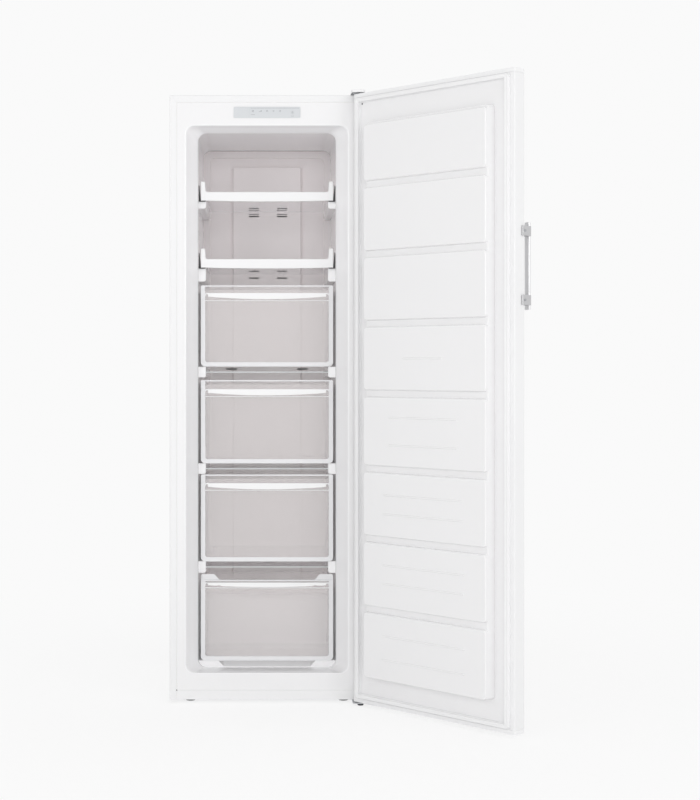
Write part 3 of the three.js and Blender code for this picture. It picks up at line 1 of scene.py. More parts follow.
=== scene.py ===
# %% [markdown]
# # An upright freezer, door open
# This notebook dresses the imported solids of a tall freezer: a painted steel cabinet with a white moulded
# liner, two glass shelves, four clear drawers and a door that stands open by 135 degrees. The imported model
# comes in as a fixed frame. Its solids give every place and size; what is made here adds the soft edges,
# the clear plastic, the small fittings and the finishes that a camera sees.

# %% Load the frame
import json
import math

import bpy
import bmesh
from mathutils import Matrix, Vector

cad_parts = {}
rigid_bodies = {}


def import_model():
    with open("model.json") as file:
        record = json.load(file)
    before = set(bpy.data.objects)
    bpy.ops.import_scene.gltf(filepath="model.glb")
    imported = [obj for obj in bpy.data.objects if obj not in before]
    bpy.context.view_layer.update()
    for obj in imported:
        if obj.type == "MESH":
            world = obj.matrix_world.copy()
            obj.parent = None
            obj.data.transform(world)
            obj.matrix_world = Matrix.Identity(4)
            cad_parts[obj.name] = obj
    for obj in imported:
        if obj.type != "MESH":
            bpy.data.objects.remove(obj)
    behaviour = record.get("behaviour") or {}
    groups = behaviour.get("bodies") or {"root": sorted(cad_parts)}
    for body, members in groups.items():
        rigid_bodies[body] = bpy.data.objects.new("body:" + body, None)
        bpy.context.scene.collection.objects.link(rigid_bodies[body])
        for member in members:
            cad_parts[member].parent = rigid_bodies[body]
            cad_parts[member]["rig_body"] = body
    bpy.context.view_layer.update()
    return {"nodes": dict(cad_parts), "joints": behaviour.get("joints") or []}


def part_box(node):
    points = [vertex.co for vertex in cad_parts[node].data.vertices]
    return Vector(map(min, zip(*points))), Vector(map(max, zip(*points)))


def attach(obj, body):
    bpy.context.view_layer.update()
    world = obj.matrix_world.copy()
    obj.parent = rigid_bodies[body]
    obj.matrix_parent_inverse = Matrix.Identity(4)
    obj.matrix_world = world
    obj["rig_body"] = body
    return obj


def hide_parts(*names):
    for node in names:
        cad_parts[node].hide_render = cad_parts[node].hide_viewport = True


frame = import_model()
nodes = frame["nodes"]

# %% [markdown]
# ## Places
# On the real freezer everything is measured from the cabinet's front face, so pieces are modelled here in
# the same way: x from the cabinet's middle, y back from its front face, z up from its underside, all in
# millimetres. One matrix carries such a piece to its place. The door is modelled shut, where its edges are
# square to the axes, and a second matrix swings it open about the hinge. Building it turned would work too,
# but square is easier to shape.

# %% Matrices for the cabinet and the door
MM = 0.001
casing_low, casing_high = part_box("outer_shell")
CABINET = Matrix.Translation(
    ((casing_low.x + casing_high.x) / 2, casing_low.y, casing_low.z)
) @ Matrix.Scale(MM, 4)
hinge_joint = next(j for j in frame["joints"] if j["name"] == "door_hinge")
pivot = Vector(hinge_joint["pos_m"])
OPEN = math.radians(135)
DOOR = (
    Matrix.Translation(pivot)
    @ Matrix.Rotation(OPEN, 4, "Z")
    @ Matrix.Translation(-pivot)
    @ CABINET
)
BODY_H = (casing_high.z - casing_low.z) / MM
print("cabinet front middle", CABINET.translation, "height", round(BODY_H))

# %% [markdown]
# ## Camera
# The photograph was taken from straight in front of the cabinet and about a metre up, with the back of the
# camera parallel to the cabinet. The door's slanting edges meet at a point far to the left, which gives the
# distance: 4.5 m. The picture was cropped off centre afterwards, and the lens shift stands for that crop.

# %% Camera
camera_data = bpy.data.cameras.new("camera")
camera = bpy.data.objects.new("camera", camera_data)
bpy.context.scene.collection.objects.link(camera)
bpy.context.scene.camera = camera
IMAGE_W, IMAGE_H, FOCAL_PX, SENSOR = 700, 800, 1485, 36
VANISH_X, VANISH_Y = 267, 366
CAMERA_AWAY, CAMERA_UP = 4532, 1018
camera_data.sensor_width = SENSOR
camera_data.lens = FOCAL_PX / IMAGE_H * SENSOR
camera_data.shift_x = (IMAGE_W / 2 - VANISH_X) / IMAGE_H
camera_data.shift_y = -(IMAGE_H / 2 - VANISH_Y) / IMAGE_H
camera.location = CABINET @ Vector((0, -CAMERA_AWAY, CAMERA_UP))
camera.rotation_euler = (math.pi / 2, 0, 0)
camera_data.clip_end = 100
print("lens", round(camera_data.lens, 2), "shift", camera_data.shift_x, camera_data.shift_y)

# %% [markdown]
# ## Light, floor and backdrop
# The photograph has the even light of a white studio: hardly a shadow, a background that is almost white,
# and light that reaches the rear wall of the food space. A plain white world gives the evenness. A broad
# lamp behind the camera shines into the cabinet, and one on each side models the edges. The broad one is
# left out of the gloss, as it would lie on every flat front as a bright patch. The eye and the gloss see
# the world as near white.

# %% World
scene = bpy.context.scene
scene.view_settings.view_transform = "Standard"
BACKDROP, ROOM_LEVEL = 0.955, 0.72
world = bpy.data.worlds.new("studio")
scene.world = world
world.use_nodes = True


def larger(tree, first, second):
    """The larger one of two values."""
    made = tree.nodes.new("ShaderNodeMath")
    made.operation = "MAXIMUM"
    tree.links.new(first, made.inputs[0])
    tree.links.new(second, made.inputs[1])
    return made.outputs[0]


def mix(tree, share, first, second):
    """A shader that passes from the first one to the second as the share rises."""
    made = tree.nodes.new("ShaderNodeMixShader")
    for output, socket in zip((share, first, second), made.inputs):
        tree.links.new(output, socket)
    return made.outputs[0]


def seen_or_shining(tree):
    """A value that is 1 for the eye, for gloss and through glass, and 0 for the light on a matt surface."""
    ray = tree.nodes.new("ShaderNodeLightPath")
    seen = ray.outputs["Is Camera Ray"]
    for label in ("Is Glossy Ray", "Is Transmission Ray"):
        seen = larger(tree, seen, ray.outputs[label])
    return seen


sky = world.node_tree
sky.nodes.clear()
room_light, seen_white = sky.nodes.new("ShaderNodeBackground"), sky.nodes.new("ShaderNodeBackground")
for shader, tone, level in ((room_light, 1.0, ROOM_LEVEL), (seen_white, BACKDROP, 1.0)):
    shader.inputs["Color"].default_value = (tone, tone, tone, 1)
    shader.inputs["Strength"].default_value = level
whole_sky = mix(sky, seen_or_shining(sky), room_light.outputs[0], seen_white.outputs[0])
sky.links.new(whole_sky, sky.nodes.new("ShaderNodeOutputWorld").inputs["Surface"])
print("room light", ROOM_LEVEL, "backdrop", BACKDROP)

# %% Lamps


def lamp(name, place, aim, size, power, in_gloss=True):
    data = bpy.data.lights.new(name, "AREA")
    data.shape, data.size, data.energy = "SQUARE", size, power
    obj = bpy.data.objects.new(name, data)
    scene.collection.objects.link(obj)
    obj.location = place
    obj.rotation_euler = (Vector(aim) - Vector(place)).to_track_quat("-Z", "Y").to_euler()
    obj.visible_glossy = obj.visible_transmission = in_gloss
    return obj


SOFTBOX = 1.4
lamp("softbox_right", (2.9, -3.5, 1.8), (0.0, 0.2, 0.9), SOFTBOX, 21)
lamp("softbox_left", (-2.9, -3.6, 1.9), (0.1, 0.2, 0.9), SOFTBOX, 16)
lamp("front_fill", (0.0, -6.2, 1.4), (0.05, 0.0, 0.95), 3.0, 59, in_gloss=False)

# %% [markdown]
# In a white cavity light goes to and fro many times before it comes out again, and every clear wall on its
# way costs a step too. Blender's usual limits would stop it early and leave the drawers grey, so they are
# raised.

# %% Bounces
BOUNCES = {
    "max_bounces": 24, "diffuse_bounces": 10, "transmission_bounces": 24, "transparent_max_bounces": 32,
}
for limit, steps in BOUNCES.items():
    setattr(scene.cycles, limit, steps)
print("bounces", BOUNCES)

# %% [markdown]
# The floor has to keep the freezer's shadow and still run into the backdrop without a horizon. So the eye
# sees it as a mix: near the freezer some of it is really lit, and further out it is the plain backdrop.

# %% Floor
FLOOR_SIZE, FLOOR_TONE = 60, 0.95
FADE_FROM, FADE_TO, LIT_SHARE = 0.7, 2.4, 0.22
bpy.ops.object.select_all(action="DESELECT")
bpy.ops.mesh.primitive_plane_add(size=FLOOR_SIZE, location=(0, 0, 0))
floor = bpy.context.object
floor.name = "floor"
floor_paint = bpy.data.materials.new("floor_paint")
floor_paint.use_nodes = True
tree = floor_paint.node_tree
tree.nodes.clear()
lit = tree.nodes.new("ShaderNodeBsdfDiffuse")
lit.inputs["Color"].default_value = (FLOOR_TONE,) * 3 + (1,)
plain = tree.nodes.new("ShaderNodeEmission")
plain.inputs["Strength"].default_value = 1.0
plain_tone = tree.nodes.new("ShaderNodeMapRange")
floor_place = tree.nodes.new("ShaderNodeTexCoord")
length = tree.nodes.new("ShaderNodeVectorMath")
length.operation = "LENGTH"
share = tree.nodes.new("ShaderNodeMapRange")
for ramp, near, far in ((share, LIT_SHARE, 0.0), (plain_tone, 1.0, BACKDROP)):
    ramp.interpolation_type = "SMOOTHSTEP"
    ramp.inputs["From Min"].default_value = FADE_FROM
    ramp.inputs["From Max"].default_value = FADE_TO
    ramp.inputs["To Min"].default_value = near
    ramp.inputs["To Max"].default_value = far
    tree.links.new(length.outputs["Value"], ramp.inputs["Value"])
tree.links.new(floor_place.outputs["Object"], length.inputs[0])
tree.links.new(plain_tone.outputs[0], plain.inputs["Color"])
seen_floor = mix(tree, share.outputs[0], plain.outputs[0], lit.outputs[0])
whole_floor = mix(tree, seen_or_shining(tree), lit.outputs[0], seen_floor)
tree.links.new(whole_floor, tree.nodes.new("ShaderNodeOutputMaterial").inputs["Surface"])
floor.data.materials.append(floor_paint)
print("floor", FLOOR_SIZE, "m, lit share near the freezer", LIT_SHARE)

# %% [markdown]
# ## Finishes
# A white appliance is a handful of whites: painted steel with a faint orange peel, glossy moulded liner,
# satin injection-moulded parts. What tells them apart is gloss and the fine shape of the surface, so one
# node group makes the fine unevenness for all of them, each with its own scale and amounts. It could be a
# picture texture, but noise on the piece's own coordinates has no seams and no repeats.

# %% Node group: fine surface


def new_group(name, inputs, outputs):
    group = bpy.data.node_groups.new(name, "ShaderNodeTree")
    for label, kind, value in inputs:
        socket = group.interface.new_socket(name=label, in_out="INPUT", socket_type=kind)
        socket.default_value = value
    for label, kind in outputs:
        group.interface.new_socket(name=label, in_out="OUTPUT", socket_type=kind)
    return group, group.nodes.new("NodeGroupInput"), group.nodes.new("NodeGroupOutput")


def node(group, kind, **values):
    made = group.nodes.new(kind)
    for key, value in values.items():
        if hasattr(made, key):
            setattr(made, key, value)
        else:
            made.inputs[key].default_value = value
    return made


fine, fine_in, fine_out = new_group(
    "fine surface",
    [
        ("Color", "NodeSocketColor", (0.9, 0.9, 0.9, 1)),
        ("Tone", "NodeSocketFloat", 0.02),
        ("Roughness", "NodeSocketFloat", 0.35),
        ("Smudge", "NodeSocketFloat", 0.05),
        ("Scale", "NodeSocketFloat", 400.0),
    ],
    [("Color", "NodeSocketColor"), ("Roughness", "NodeSocketFloat"), ("Height", "NodeSocketFloat")],
)
where = node(fine, "ShaderNodeTexCoord")
broad = node(fine, "ShaderNodeTexNoise", Scale=2.3, Detail=2.0)
smudge = node(fine, "ShaderNodeTexNoise", Scale=7.0, Detail=3.0)
grain = node(fine, "ShaderNodeTexNoise", Detail=1.5)
NOISE_LOW, NOISE_HIGH = 0.3, 0.7  # between these a noise spends most of its time
tone_range, rough_range = node(fine, "ShaderNodeMapRange"), node(fine, "ShaderNodeMapRange")
for spread in (tone_range, rough_range):
    spread.inputs["From Min"].default_value = NOISE_LOW
    spread.inputs["From Max"].default_value = NOISE_HIGH
darkest = node(fine, "ShaderNodeMath", operation="SUBTRACT")
darkest.inputs[0].default_value = 1.0
tint = node(fine, "ShaderNodeVectorMath", operation="SCALE")
rougher = node(fine, "ShaderNodeMath", operation="ADD")
link = fine.links.new
for texture in (broad, smudge, grain):
    link(where.outputs["Object"], texture.inputs["Vector"])
link(fine_in.outputs["Scale"], grain.inputs["Scale"])
link(fine_in.outputs["Tone"], darkest.inputs[1])
link(broad.outputs["Fac"], tone_range.inputs["Value"])
link(darkest.outputs[0], tone_range.inputs["To Min"])
link(fine_in.outputs["Color"], tint.inputs[0])
link(tone_range.outputs[0], tint.inputs["Scale"])
link(fine_in.outputs["Roughness"], rougher.inputs[0])
link(fine_in.outputs["Smudge"], rougher.inputs[1])
link(smudge.outputs["Fac"], rough_range.inputs["Value"])
link(fine_in.outputs["Roughness"], rough_range.inputs["To Min"])
link(rougher.outputs[0], rough_range.inputs["To Max"])
link(tint.outputs[0], fine_out.inputs["Color"])
link(rough_range.outputs[0], fine_out.inputs["Roughness"])
link(grain.outputs["Fac"], fine_out.inputs["Height"])
print("group", fine.name, len(fine.nodes), "nodes")

# %% [markdown]
# A finish is then one Principled shader. The group feeds it only what changes over the surface, and a value
# that is the same all over is set on the shader itself. Paint and the formed liners have a thin clear gloss
# over them. The liner's flat front and the door's inner side are the same plastic as the hollow, but they get
# a greyer copy of its white. That is painted shade: it tones them down beside the hollow, which lights
# itself up.


def finish(name, slot, color, roughness, scale=400, bump=0.1, depth=0.0002, tone=0.02, smudge=0.05, **extra):
    """An opaque finish: tone darkens it and smudge roughens it in places, bump and depth give its relief."""
    material = bpy.data.materials.new(name)
    material.use_nodes = True
    tree = material.node_tree
    shader = tree.nodes["Principled BSDF"]
    surface = tree.nodes.new("ShaderNodeGroup")
    surface.node_tree = fine
    surface.inputs["Color"].default_value = (*color, 1)
    surface.inputs["Tone"].default_value = tone
    surface.inputs["Roughness"].default_value = roughness
    surface.inputs["Smudge"].default_value = smudge
    surface.inputs["Scale"].default_value = scale
    relief = tree.nodes.new("ShaderNodeBump")
    relief.inputs["Strength"].default_value = bump
    relief.inputs["Distance"].default_value = depth
    shader.inputs["Base Color"].default_value = (*color, 1)
    shader.inputs["Roughness"].default_value = roughness
    if tone:
        tree.links.new(surface.outputs["Color"], shader.inputs["Base Color"])
    if smudge:
        tree.links.new(surface.outputs["Roughness"], shader.inputs["Roughness"])
    tree.links.new(surface.outputs["Height"], relief.inputs["Height"])
    tree.links.new(relief.outputs["Normal"], shader.inputs["Normal"])
    for key, value in extra.items():
        shader.inputs[key.replace("_", " ")].default_value = value
    return material


white_paint = finish("white_paint", "white_paint", (0.9, 0.9, 0.905), 0.28, scale=260, bump=0.04,
                     smudge=0.015, Coat_Weight=0.25, Coat_Roughness=0.12)
FORMED = {"scale": 300, "bump": 0.03, "tone": 0.01, "smudge": 0.0, "Coat_Roughness": 0.15}
liner_white = finish("liner_white", "liner_plastic", (0.945, 0.94, 0.95), 0.24, Coat_Weight=0.6, **FORMED)
# painted shade: a greyer copy of the liner white, for the liner's flat front and the door's inner side
shaded_liner_white = finish("shaded_liner_white", "liner_plastic", (0.9, 0.897, 0.903), 0.26, Coat_Weight=0.5, **FORMED)
satin_white = finish("satin_white", "white_plastic", (0.92, 0.92, 0.925), 0.4, scale=1500, bump=0.05,
                     smudge=0.02)
duct_white = finish("duct_white", "white_plastic", (0.905, 0.855, 0.857), 0.24, scale=1500, bump=0.04,
                    smudge=0.0)
panel_grey = finish("panel_grey", "grey_panel", (0.69, 0.71, 0.73), 0.32, scale=1500, bump=0.05)
gasket_white = finish("gasket_white", "gasket_rubber", (0.92, 0.92, 0.925), 0.5, scale=900, bump=0.06)
zinc = finish("zinc", "zinc_steel", (0.55, 0.56, 0.58), 0.35, scale=90, bump=0.03, tone=0.15, Metallic=1.0)
fin_metal = finish("fin_metal", "fin_aluminium", (0.72, 0.73, 0.74), 0.35, scale=300, tone=0.1, Metallic=1.0)
copper_pipe = finish("copper_pipe", "copper", (0.72, 0.4, 0.26), 0.3, scale=60, tone=0.3, smudge=0.2,
                     Metallic=1.0)
black_plastic = finish("black_plastic", "black_plastic", (0.03, 0.03, 0.033), 0.45, scale=1200, bump=0.2)
black_enamel = finish("black_enamel", "black_enamel", (0.018, 0.018, 0.02), 0.22, scale=150, bump=0.15,
                      tone=0.2)
foam = finish("foam", "foam", (0.78, 0.68, 0.42), 0.9, scale=220, bump=0.7, depth=0.001, tone=0.2)
board_green = finish("board_green", "circuit_board", (0.03, 0.16, 0.08), 0.4, scale=500, tone=0.2)
handle_metal = finish("handle_metal", "handle_metal", (0.86, 0.86, 0.87), 0.3, scale=500, Metallic=1.0)
bracket_metal = finish("bracket_metal", "handle_metal", (0.62, 0.62, 0.63), 0.34, scale=500, Metallic=1.0)

# %% [markdown]
# ## Clear plastic and glass
# The drawers are clear polystyrene and the shelves are toughened glass. A true refracting shader throws
# hard dark shadows on what lies behind, because a path tracer seldom finds the bent light. So light on its
# way to a lamp, or to and from a matt wall, is let straight through, and only the eye and the gloss see the
# bending. Thick or ribbed places look milky, so they get a cloudier plastic of their own. The grip hoods
# are a nearly white plastic, which is a painted highlight in place of the bright reflection on the clear
# hood, and the tubs' side walls are a cloudier plastic that passes less light, which is painted shade in
# the gaps beside the drawers.

# %% Clear finishes


def clear(name, color, roughness, ior, let_through, clearness=1.0):
    """A see-through finish: clearness is for the eye, let_through for the light that goes straight on."""
    material = finish(name, "clear_plastic" if "plastic" in name else "clear_glass", color, roughness,
                      scale=30, bump=0.02, tone=0.0, smudge=0.03)
    tree = material.node_tree
    shader = tree.nodes["Principled BSDF"]
    shader.inputs["Transmission Weight"].default_value = clearness
    shader.inputs["IOR"].default_value = ior
    through = tree.nodes.new("ShaderNodeBsdfTransparent")
    through.inputs["Color"].default_value = (let_through,) * 3 + (1,)
    path = tree.nodes.new("ShaderNodeLightPath")
    passing = larger(tree, path.outputs["Is Shadow Ray"], path.outputs["Is Diffuse Ray"])
    surface = mix(tree, passing, shader.outputs[0], through.outputs[0])
    tree.links.new(surface, tree.nodes["Material Output"].inputs["Surface"])
    return material


clear_plastic = clear("clear_plastic", (0.98, 0.965, 0.965), 0.02, 1.49, 0.98, clearness=0.93)
milky_plastic = clear("milky_plastic", (0.9, 0.9, 0.915), 0.12, 1.49, 0.93, clearness=0.3)
# nearly white: a painted highlight on the grip hoods, for the reflection on the curved clear hood
hood_highlight_plastic = clear("hood_highlight_plastic", (0.945, 0.945, 0.95), 0.1, 1.49, 0.85, clearness=0.1)
tub_plastic = clear("tub_plastic", (0.98, 0.955, 0.955), 0.03, 1.49, 0.96, clearness=0.84)
# cloudier and passing less light: painted shade in the gaps beside the drawers
tub_side_shading_plastic = clear("tub_side_shading_plastic", (0.93, 0.92, 0.93), 0.1, 1.49, 0.55, clearness=0.6)
clear_glass = clear("clear_glass", (0.95, 0.95, 0.965), 0.0, 1.5, 0.96)
ground_edge = clear("ground_edge", (0.84, 0.86, 0.87), 0.3, 1.5, 0.9, clearness=0.25)

# %% [markdown]
# ## Hand tools
# Most pieces below are shaped the way a modeller does it by hand: a cube is added at its size and place,
# some of its faces or edges are picked, and they are inset, extruded, bevelled or scaled. These few helpers
# keep that short. Picking by place and direction replaces the mouse.

# %% Picking, rounding and carving


def nothing_selected():
    if bpy.context.mode != "OBJECT":
        bpy.ops.object.mode_set(mode="OBJECT")
    bpy.ops.object.select_all(action="DESELECT")


def only(obj):
    """Makes one object the selected and active one."""
    nothing_selected()
    obj.select_set(True)
    bpy.context.view_layer.objects.active = obj


def block(name, low, high):
    """A cube primitive stretched between two opposite corners, with its size taken into its mesh."""
    low, high = (Vector(corner) for corner in zip(*map(sorted, zip(low, high))))
    nothing_selected()
    bpy.ops.mesh.primitive_cube_add(size=1, location=(low + high) / 2)
    obj = bpy.context.object
    obj.name = obj.data.name = name
    obj.scale = high - low
    bpy.ops.object.transform_apply(location=True, rotation=False, scale=True)
    return obj


def pick(obj, kind, test):
    """Goes into edit mode and selects the faces or edges whose middle and direction pass the test."""
    only(obj)
    bpy.ops.object.mode_set(mode="EDIT")
    bpy.ops.mesh.select_mode(type=kind)
    bpy.ops.mesh.select_all(action="DESELECT")
    mesh = bmesh.from_edit_mesh(obj.data)
    for part in mesh.faces if kind == "FACE" else mesh.edges:
        if kind == "FACE":
            middle, way = part.calc_center_median(), part.normal
        else:
            first, last = part.verts[0].co, part.verts[1].co
            middle, way = (first + last) / 2, (last - first).normalized()
        if test(middle, way):
            part.select_set(True)
    bmesh.update_edit_mesh(obj.data)


def round_edges(obj, test, radius, segments=3):
    pick(obj, "EDGE", test)
    bpy.ops.mesh.bevel(offset=radius, segments=segments, affect="EDGES")
    bpy.ops.object.mode_set(mode="OBJECT")


def drop_faces(obj, test):
    """Deletes the faces that pass the test, which opens the object there."""
    pick(obj, "FACE", test)
    bpy.ops.mesh.delete(type="FACE")
    bpy.ops.object.mode_set(mode="OBJECT")


def apply_modifier(obj, kind, **values):
    only(obj)
    modifier = obj.modifiers.new(kind, kind)
    for key, value in values.items():
        setattr(modifier, key, value)
    bpy.ops.object.modifier_apply(modifier=modifier.name)


def carve(obj, *tools, how="DIFFERENCE"):
    """Cuts tools out of an object, or joins them on, and throws the tools away."""
    for tool in tools:
        apply_modifier(obj, "BOOLEAN", operation=how, object=tool, solver="EXACT")
        bpy.data.objects.remove(tool)


def soften(obj, width, segments=2, angle=30):
    apply_modifier(obj, "BEVEL", width=width, segments=segments, limit_method="ANGLE",
                   angle_limit=math.radians(angle))


def bisect(obj, place, normal):
    """Adds a loop of edges where a plane meets the object, as a loop cut by hand would."""
    only(obj)
    bpy.ops.object.mode_set(mode="EDIT")
    bpy.ops.mesh.select_all(action="SELECT")
    bpy.ops.mesh.bisect(plane_co=place, plane_no=normal)
    bpy.ops.object.mode_set(mode="OBJECT")


def along(way, axis):
    """Whether a direction follows an axis: 0 across, 1 to the rear, 2 up."""
    return abs(way[axis]) > 0.99


def paint_faces(obj, test, *materials):
    """Adds materials to an object and gives the last of them to the faces that pass the test."""
    for material in materials:
        obj.data.materials.append(material)
    pick(obj, "FACE", test)
    obj.active_material_index = len(obj.data.materials) - 1
    bpy.ops.object.material_slot_assign()
    bpy.ops.object.mode_set(mode="OBJECT")


def tell(label, obj):
    """Says how many faces a piece has."""
    print(label, len(obj.data.polygons), "faces")


# %% Discs and joined parts
TURNED = {"X": (0, math.pi / 2, 0), "Y": (-math.pi / 2, 0, 0), "Z": (0, 0, 0)}


def disc(name, centre, radius, height, axis="Z", sides=32):
    """A cylinder primitive that starts at a centre and reaches a height along one axis."""
    nothing_selected()
    bpy.ops.mesh.primitive_cylinder_add(vertices=sides, radius=radius, depth=height, rotation=TURNED[axis])
    obj = bpy.context.object
    obj.name = obj.data.name = name
    shift = Vector(["XYZ".index(axis) == i for i in range(3)]) * height / 2
    obj.location = Vector(centre) + shift
    bpy.ops.object.transform_apply(location=True, rotation=True, scale=True)
    return obj


def join_up(name, parts):
    """Makes one object of several that lie apart."""
    only(parts[0])
    for part in parts:
        part.select_set(True)
    bpy.ops.object.join()
    parts[0].name = parts[0].data.name = name
    return parts[0]


# %% [markdown]
# A piece is finished by taking it to its place, shading it and saying which body carries it. Weighted
# normals keep the broad faces flat and leave the turning of the light to the narrow bevels.

# %% Seating a piece


def extent(name, place=CABINET):
    """A solid's lowest and highest corners, in the millimetres in which pieces are modelled."""
    back = place.inverted()
    points = [back @ v.co for v in nodes[name].data.vertices]
    return (
        Vector([min(p[i] for p in points) for i in range(3)]),
        Vector([max(p[i] for p in points) for i in range(3)]),
    )


def shade(obj, angle=35):
    only(obj)
    bpy.ops.object.shade_smooth_by_angle(angle=math.radians(angle))
    apply_modifier(obj, "WEIGHTED_NORMAL", keep_sharp=True)


def seat(obj, material, stands_for=None, place=CABINET, body=None, angle=35):
    shade(obj, angle)
    only(obj)
    obj.matrix_world = place
    bpy.ops.object.transform_apply(location=True, rotation=True, scale=True)
    if not obj.data.materials:
        obj.data.materials.append(material)
    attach(obj, body or nodes[stands_for]["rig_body"])
    if stands_for:
        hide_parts(stands_for)
    return obj


# %% [markdown]
# ## The liner of the food space
# The real liner is one plastic sheet, sucked over a mould. So it is modelled that way here: first the
# mould, which is the shape of the air inside, then its skin. The mould starts as a slab the size of the
# mouth. Its rear face is extruded three times and made smaller twice, which gives the two bevels and the
# hollow. Building the sheet wall by wall would leave every rounded corner to be fitted by hand.

# %% The mould of the food space
MOUTH = (248, 81, 1752)  # half width, bottom and top
FIRST_BEVEL = (235, 84, 1747)
HOLLOW = (211.8, 87, 1735.5)
FIRST_Y, THROAT_Y, REAR_Y = 18, 46, 515
MOUTH_R, BEVEL_R = 25, 5
RIB_FRONT = 64


def resize_section(old, new, y):
    """Resizes the picked cross-section, about its middle, from one size to another."""
    old_middle, new_middle = (old[1] + old[2]) / 2, (new[1] + new[2]) / 2
    bpy.ops.transform.resize(
        value=(new[0] / old[0], 1, (new[2] - new[1]) / (old[2] - old[1])), center_override=(0, y, old_middle))
    bpy.ops.transform.translate(value=(0, 0, new_middle - old_middle))


def extrude_by(*value):
    bpy.ops.mesh.extrude_region_move(TRANSFORM_OT_translate={"value": value})


mould = block("inner_liner", (-MOUTH[0], -1, MOUTH[1]), (MOUTH[0], 0, MOUTH[2]))
pick(mould, "FACE", lambda middle, way: way.y > 0.9)
extrude_by(0, FIRST_Y, 0)
resize_section(MOUTH, FIRST_BEVEL, FIRST_Y)
extrude_by(0, THROAT_Y - FIRST_Y, 0)
resize_section(FIRST_BEVEL, HOLLOW, THROAT_Y)
extrude_by(0, REAR_Y - THROAT_Y, 0)
round_edges(mould, lambda middle, way: abs(way.y) > 0.5, MOUTH_R, 8)
for y in (FIRST_Y, THROAT_Y):
    round_edges(mould, lambda middle, way: abs(way.y) < 0.1 and abs(middle.y - y) < 0.1, BEVEL_R)
tell("mould", mould)

# %% [markdown]
# The glass lies on ribs along the side walls. On the mould they are grooves, so each rib is a rounded block
# cut out of it. The ribs for the glass between the drawers have a slot, and the lowest drawer runs on the
# floor, behind a raised sill with a finger recess.

# %% Ribs, sill and the step over the compressor
RIB_IN, RIB_BACK, SHELF_GAP = 189, 424, 0.3
GLASS_RIBS = [  # top, height and the middle of the glass in a slotted rib
    (extent(f"glass_shelf_{i}")[0].z - SHELF_GAP, height, None) for i, height in ((1, 24), (2, 43))
]
for i, height in ((1, 34), (2, 34), (3, 37)):
    low, high = extent(f"glass_plate_{i}")
    middle = (low.z + high.z) / 2
    GLASS_RIBS.append((middle + height / 2, height, middle))
SLOT_HALF, SLOT_FRONT = 2.3, 68


def rib(side, top, height, glass):
    made = block("rib", (side * RIB_IN, RIB_FRONT, top - height), (side * (HOLLOW[0] + 2), RIB_BACK, top))
    inner = lambda middle: abs(middle.x - side * RIB_IN) < 0.1
    round_edges(made, lambda middle, way: along(way, 1) and inner(middle) and middle.z > top - 1, 3)
    round_edges(made, lambda middle, way: along(way, 1) and inner(middle) and middle.z < top - height + 1, 6)
    round_edges(made, lambda middle, way: middle.y < RIB_FRONT + 0.1, 2.5)
    if glass:
        carve(made, block("slot", (side * (RIB_IN - 2), SLOT_FRONT, glass - SLOT_HALF),
                          (side * (HOLLOW[0] - 2), RIB_BACK + 1, glass + SLOT_HALF)))
    return made


for top, height, glass in GLASS_RIBS:
    for side in (-1, 1):
        carve(mould, rib(side, top, height, glass))

SILL_TOP, SILL_FRONT, SILL_BACK = 108, 60, 88
RECESS_TOP_HALF, RECESS_FOOT_HALF = 153, 133
RECESS_REAR = 0.25  # height of the finger recess at its rear, as a share of its front
STEP_Y, STEP_TOP, STEP_R = 340, 262, 20
floor_z = HOLLOW[1]
sill = block("sill", (-HOLLOW[0] - 1.3, SILL_FRONT, floor_z - 9), (HOLLOW[0] + 1, SILL_BACK, SILL_TOP))
notch = block("notch", (-RECESS_TOP_HALF, SILL_FRONT - 2, floor_z + 1),
              (RECESS_TOP_HALF, SILL_BACK + 4, SILL_TOP + 2))
pick(notch, "FACE", lambda middle, way: way.z < -0.9)
bpy.ops.transform.resize(value=(RECESS_FOOT_HALF / RECESS_TOP_HALF, 1, 1))
round_edges(notch, lambda middle, way: along(way, 1) and middle.z < floor_z + 2, 4)
pick(notch, "FACE", lambda middle, way: way.y > 0.9)
bpy.ops.transform.resize(value=(1, 1, RECESS_REAR), center_override=(0, SILL_BACK, SILL_TOP + 2))
round_edges(sill, lambda middle, way: along(way, 0) and middle.z > SILL_TOP - 1, 2, 3)
carve(sill, notch)
carve(mould, sill)
for side in (-1, 1):
    runner = block("runner", (side * RIB_IN, SILL_BACK - 3, floor_z - 7),
                   (side * (HOLLOW[0] + 1), STEP_Y + 5, SILL_TOP - 0.2))
    round_edges(runner, lambda middle, way: along(way, 1) and middle.z > SILL_TOP - 1, 3)
    carve(mould, runner)
step = block("step", (-300, STEP_Y, 0), (300, REAR_Y + 10, STEP_TOP))
round_edges(step, lambda middle, way: along(way, 0) and middle.y < STEP_Y + 1 and middle.z > 200, STEP_R, 6)
carve(mould, step)
tell("liner", mould)

# %% [markdown]
# Now the skin. A slab joined to the mould's front gives the flat border round the mouth, the mouth's edge
# gets its rounding, everything that isn't skin is deleted, and Solidify gives the sheet its thickness on
# the foam's side.

# %% The liner as a skin of the mould
flange_low, flange_high = extent("cabinet_liner")
border = block("border", (flange_low.x, -2, flange_low.z), (flange_high.x, 0, flange_high.z))
carve(mould, border, how="UNION")
in_mouth = lambda middle: abs(middle.x) < MOUTH[0] + 0.1 and MOUTH[1] - 0.1 < middle.z < MOUTH[2] + 0.1
round_edges(mould, lambda middle, way: abs(middle.y) < 0.01 and in_mouth(middle), 3)
hole_low, hole_high = extent("control_board")
carve(mould, block("panel_hole", (hole_low.x - 2, -5, hole_low.z - 2), (hole_high.x + 2, 5, hole_high.z + 2)))
drop_faces(mould, lambda middle, way: middle.y < -0.02)
apply_modifier(mould, "SOLIDIFY", thickness=1.5, offset=1)
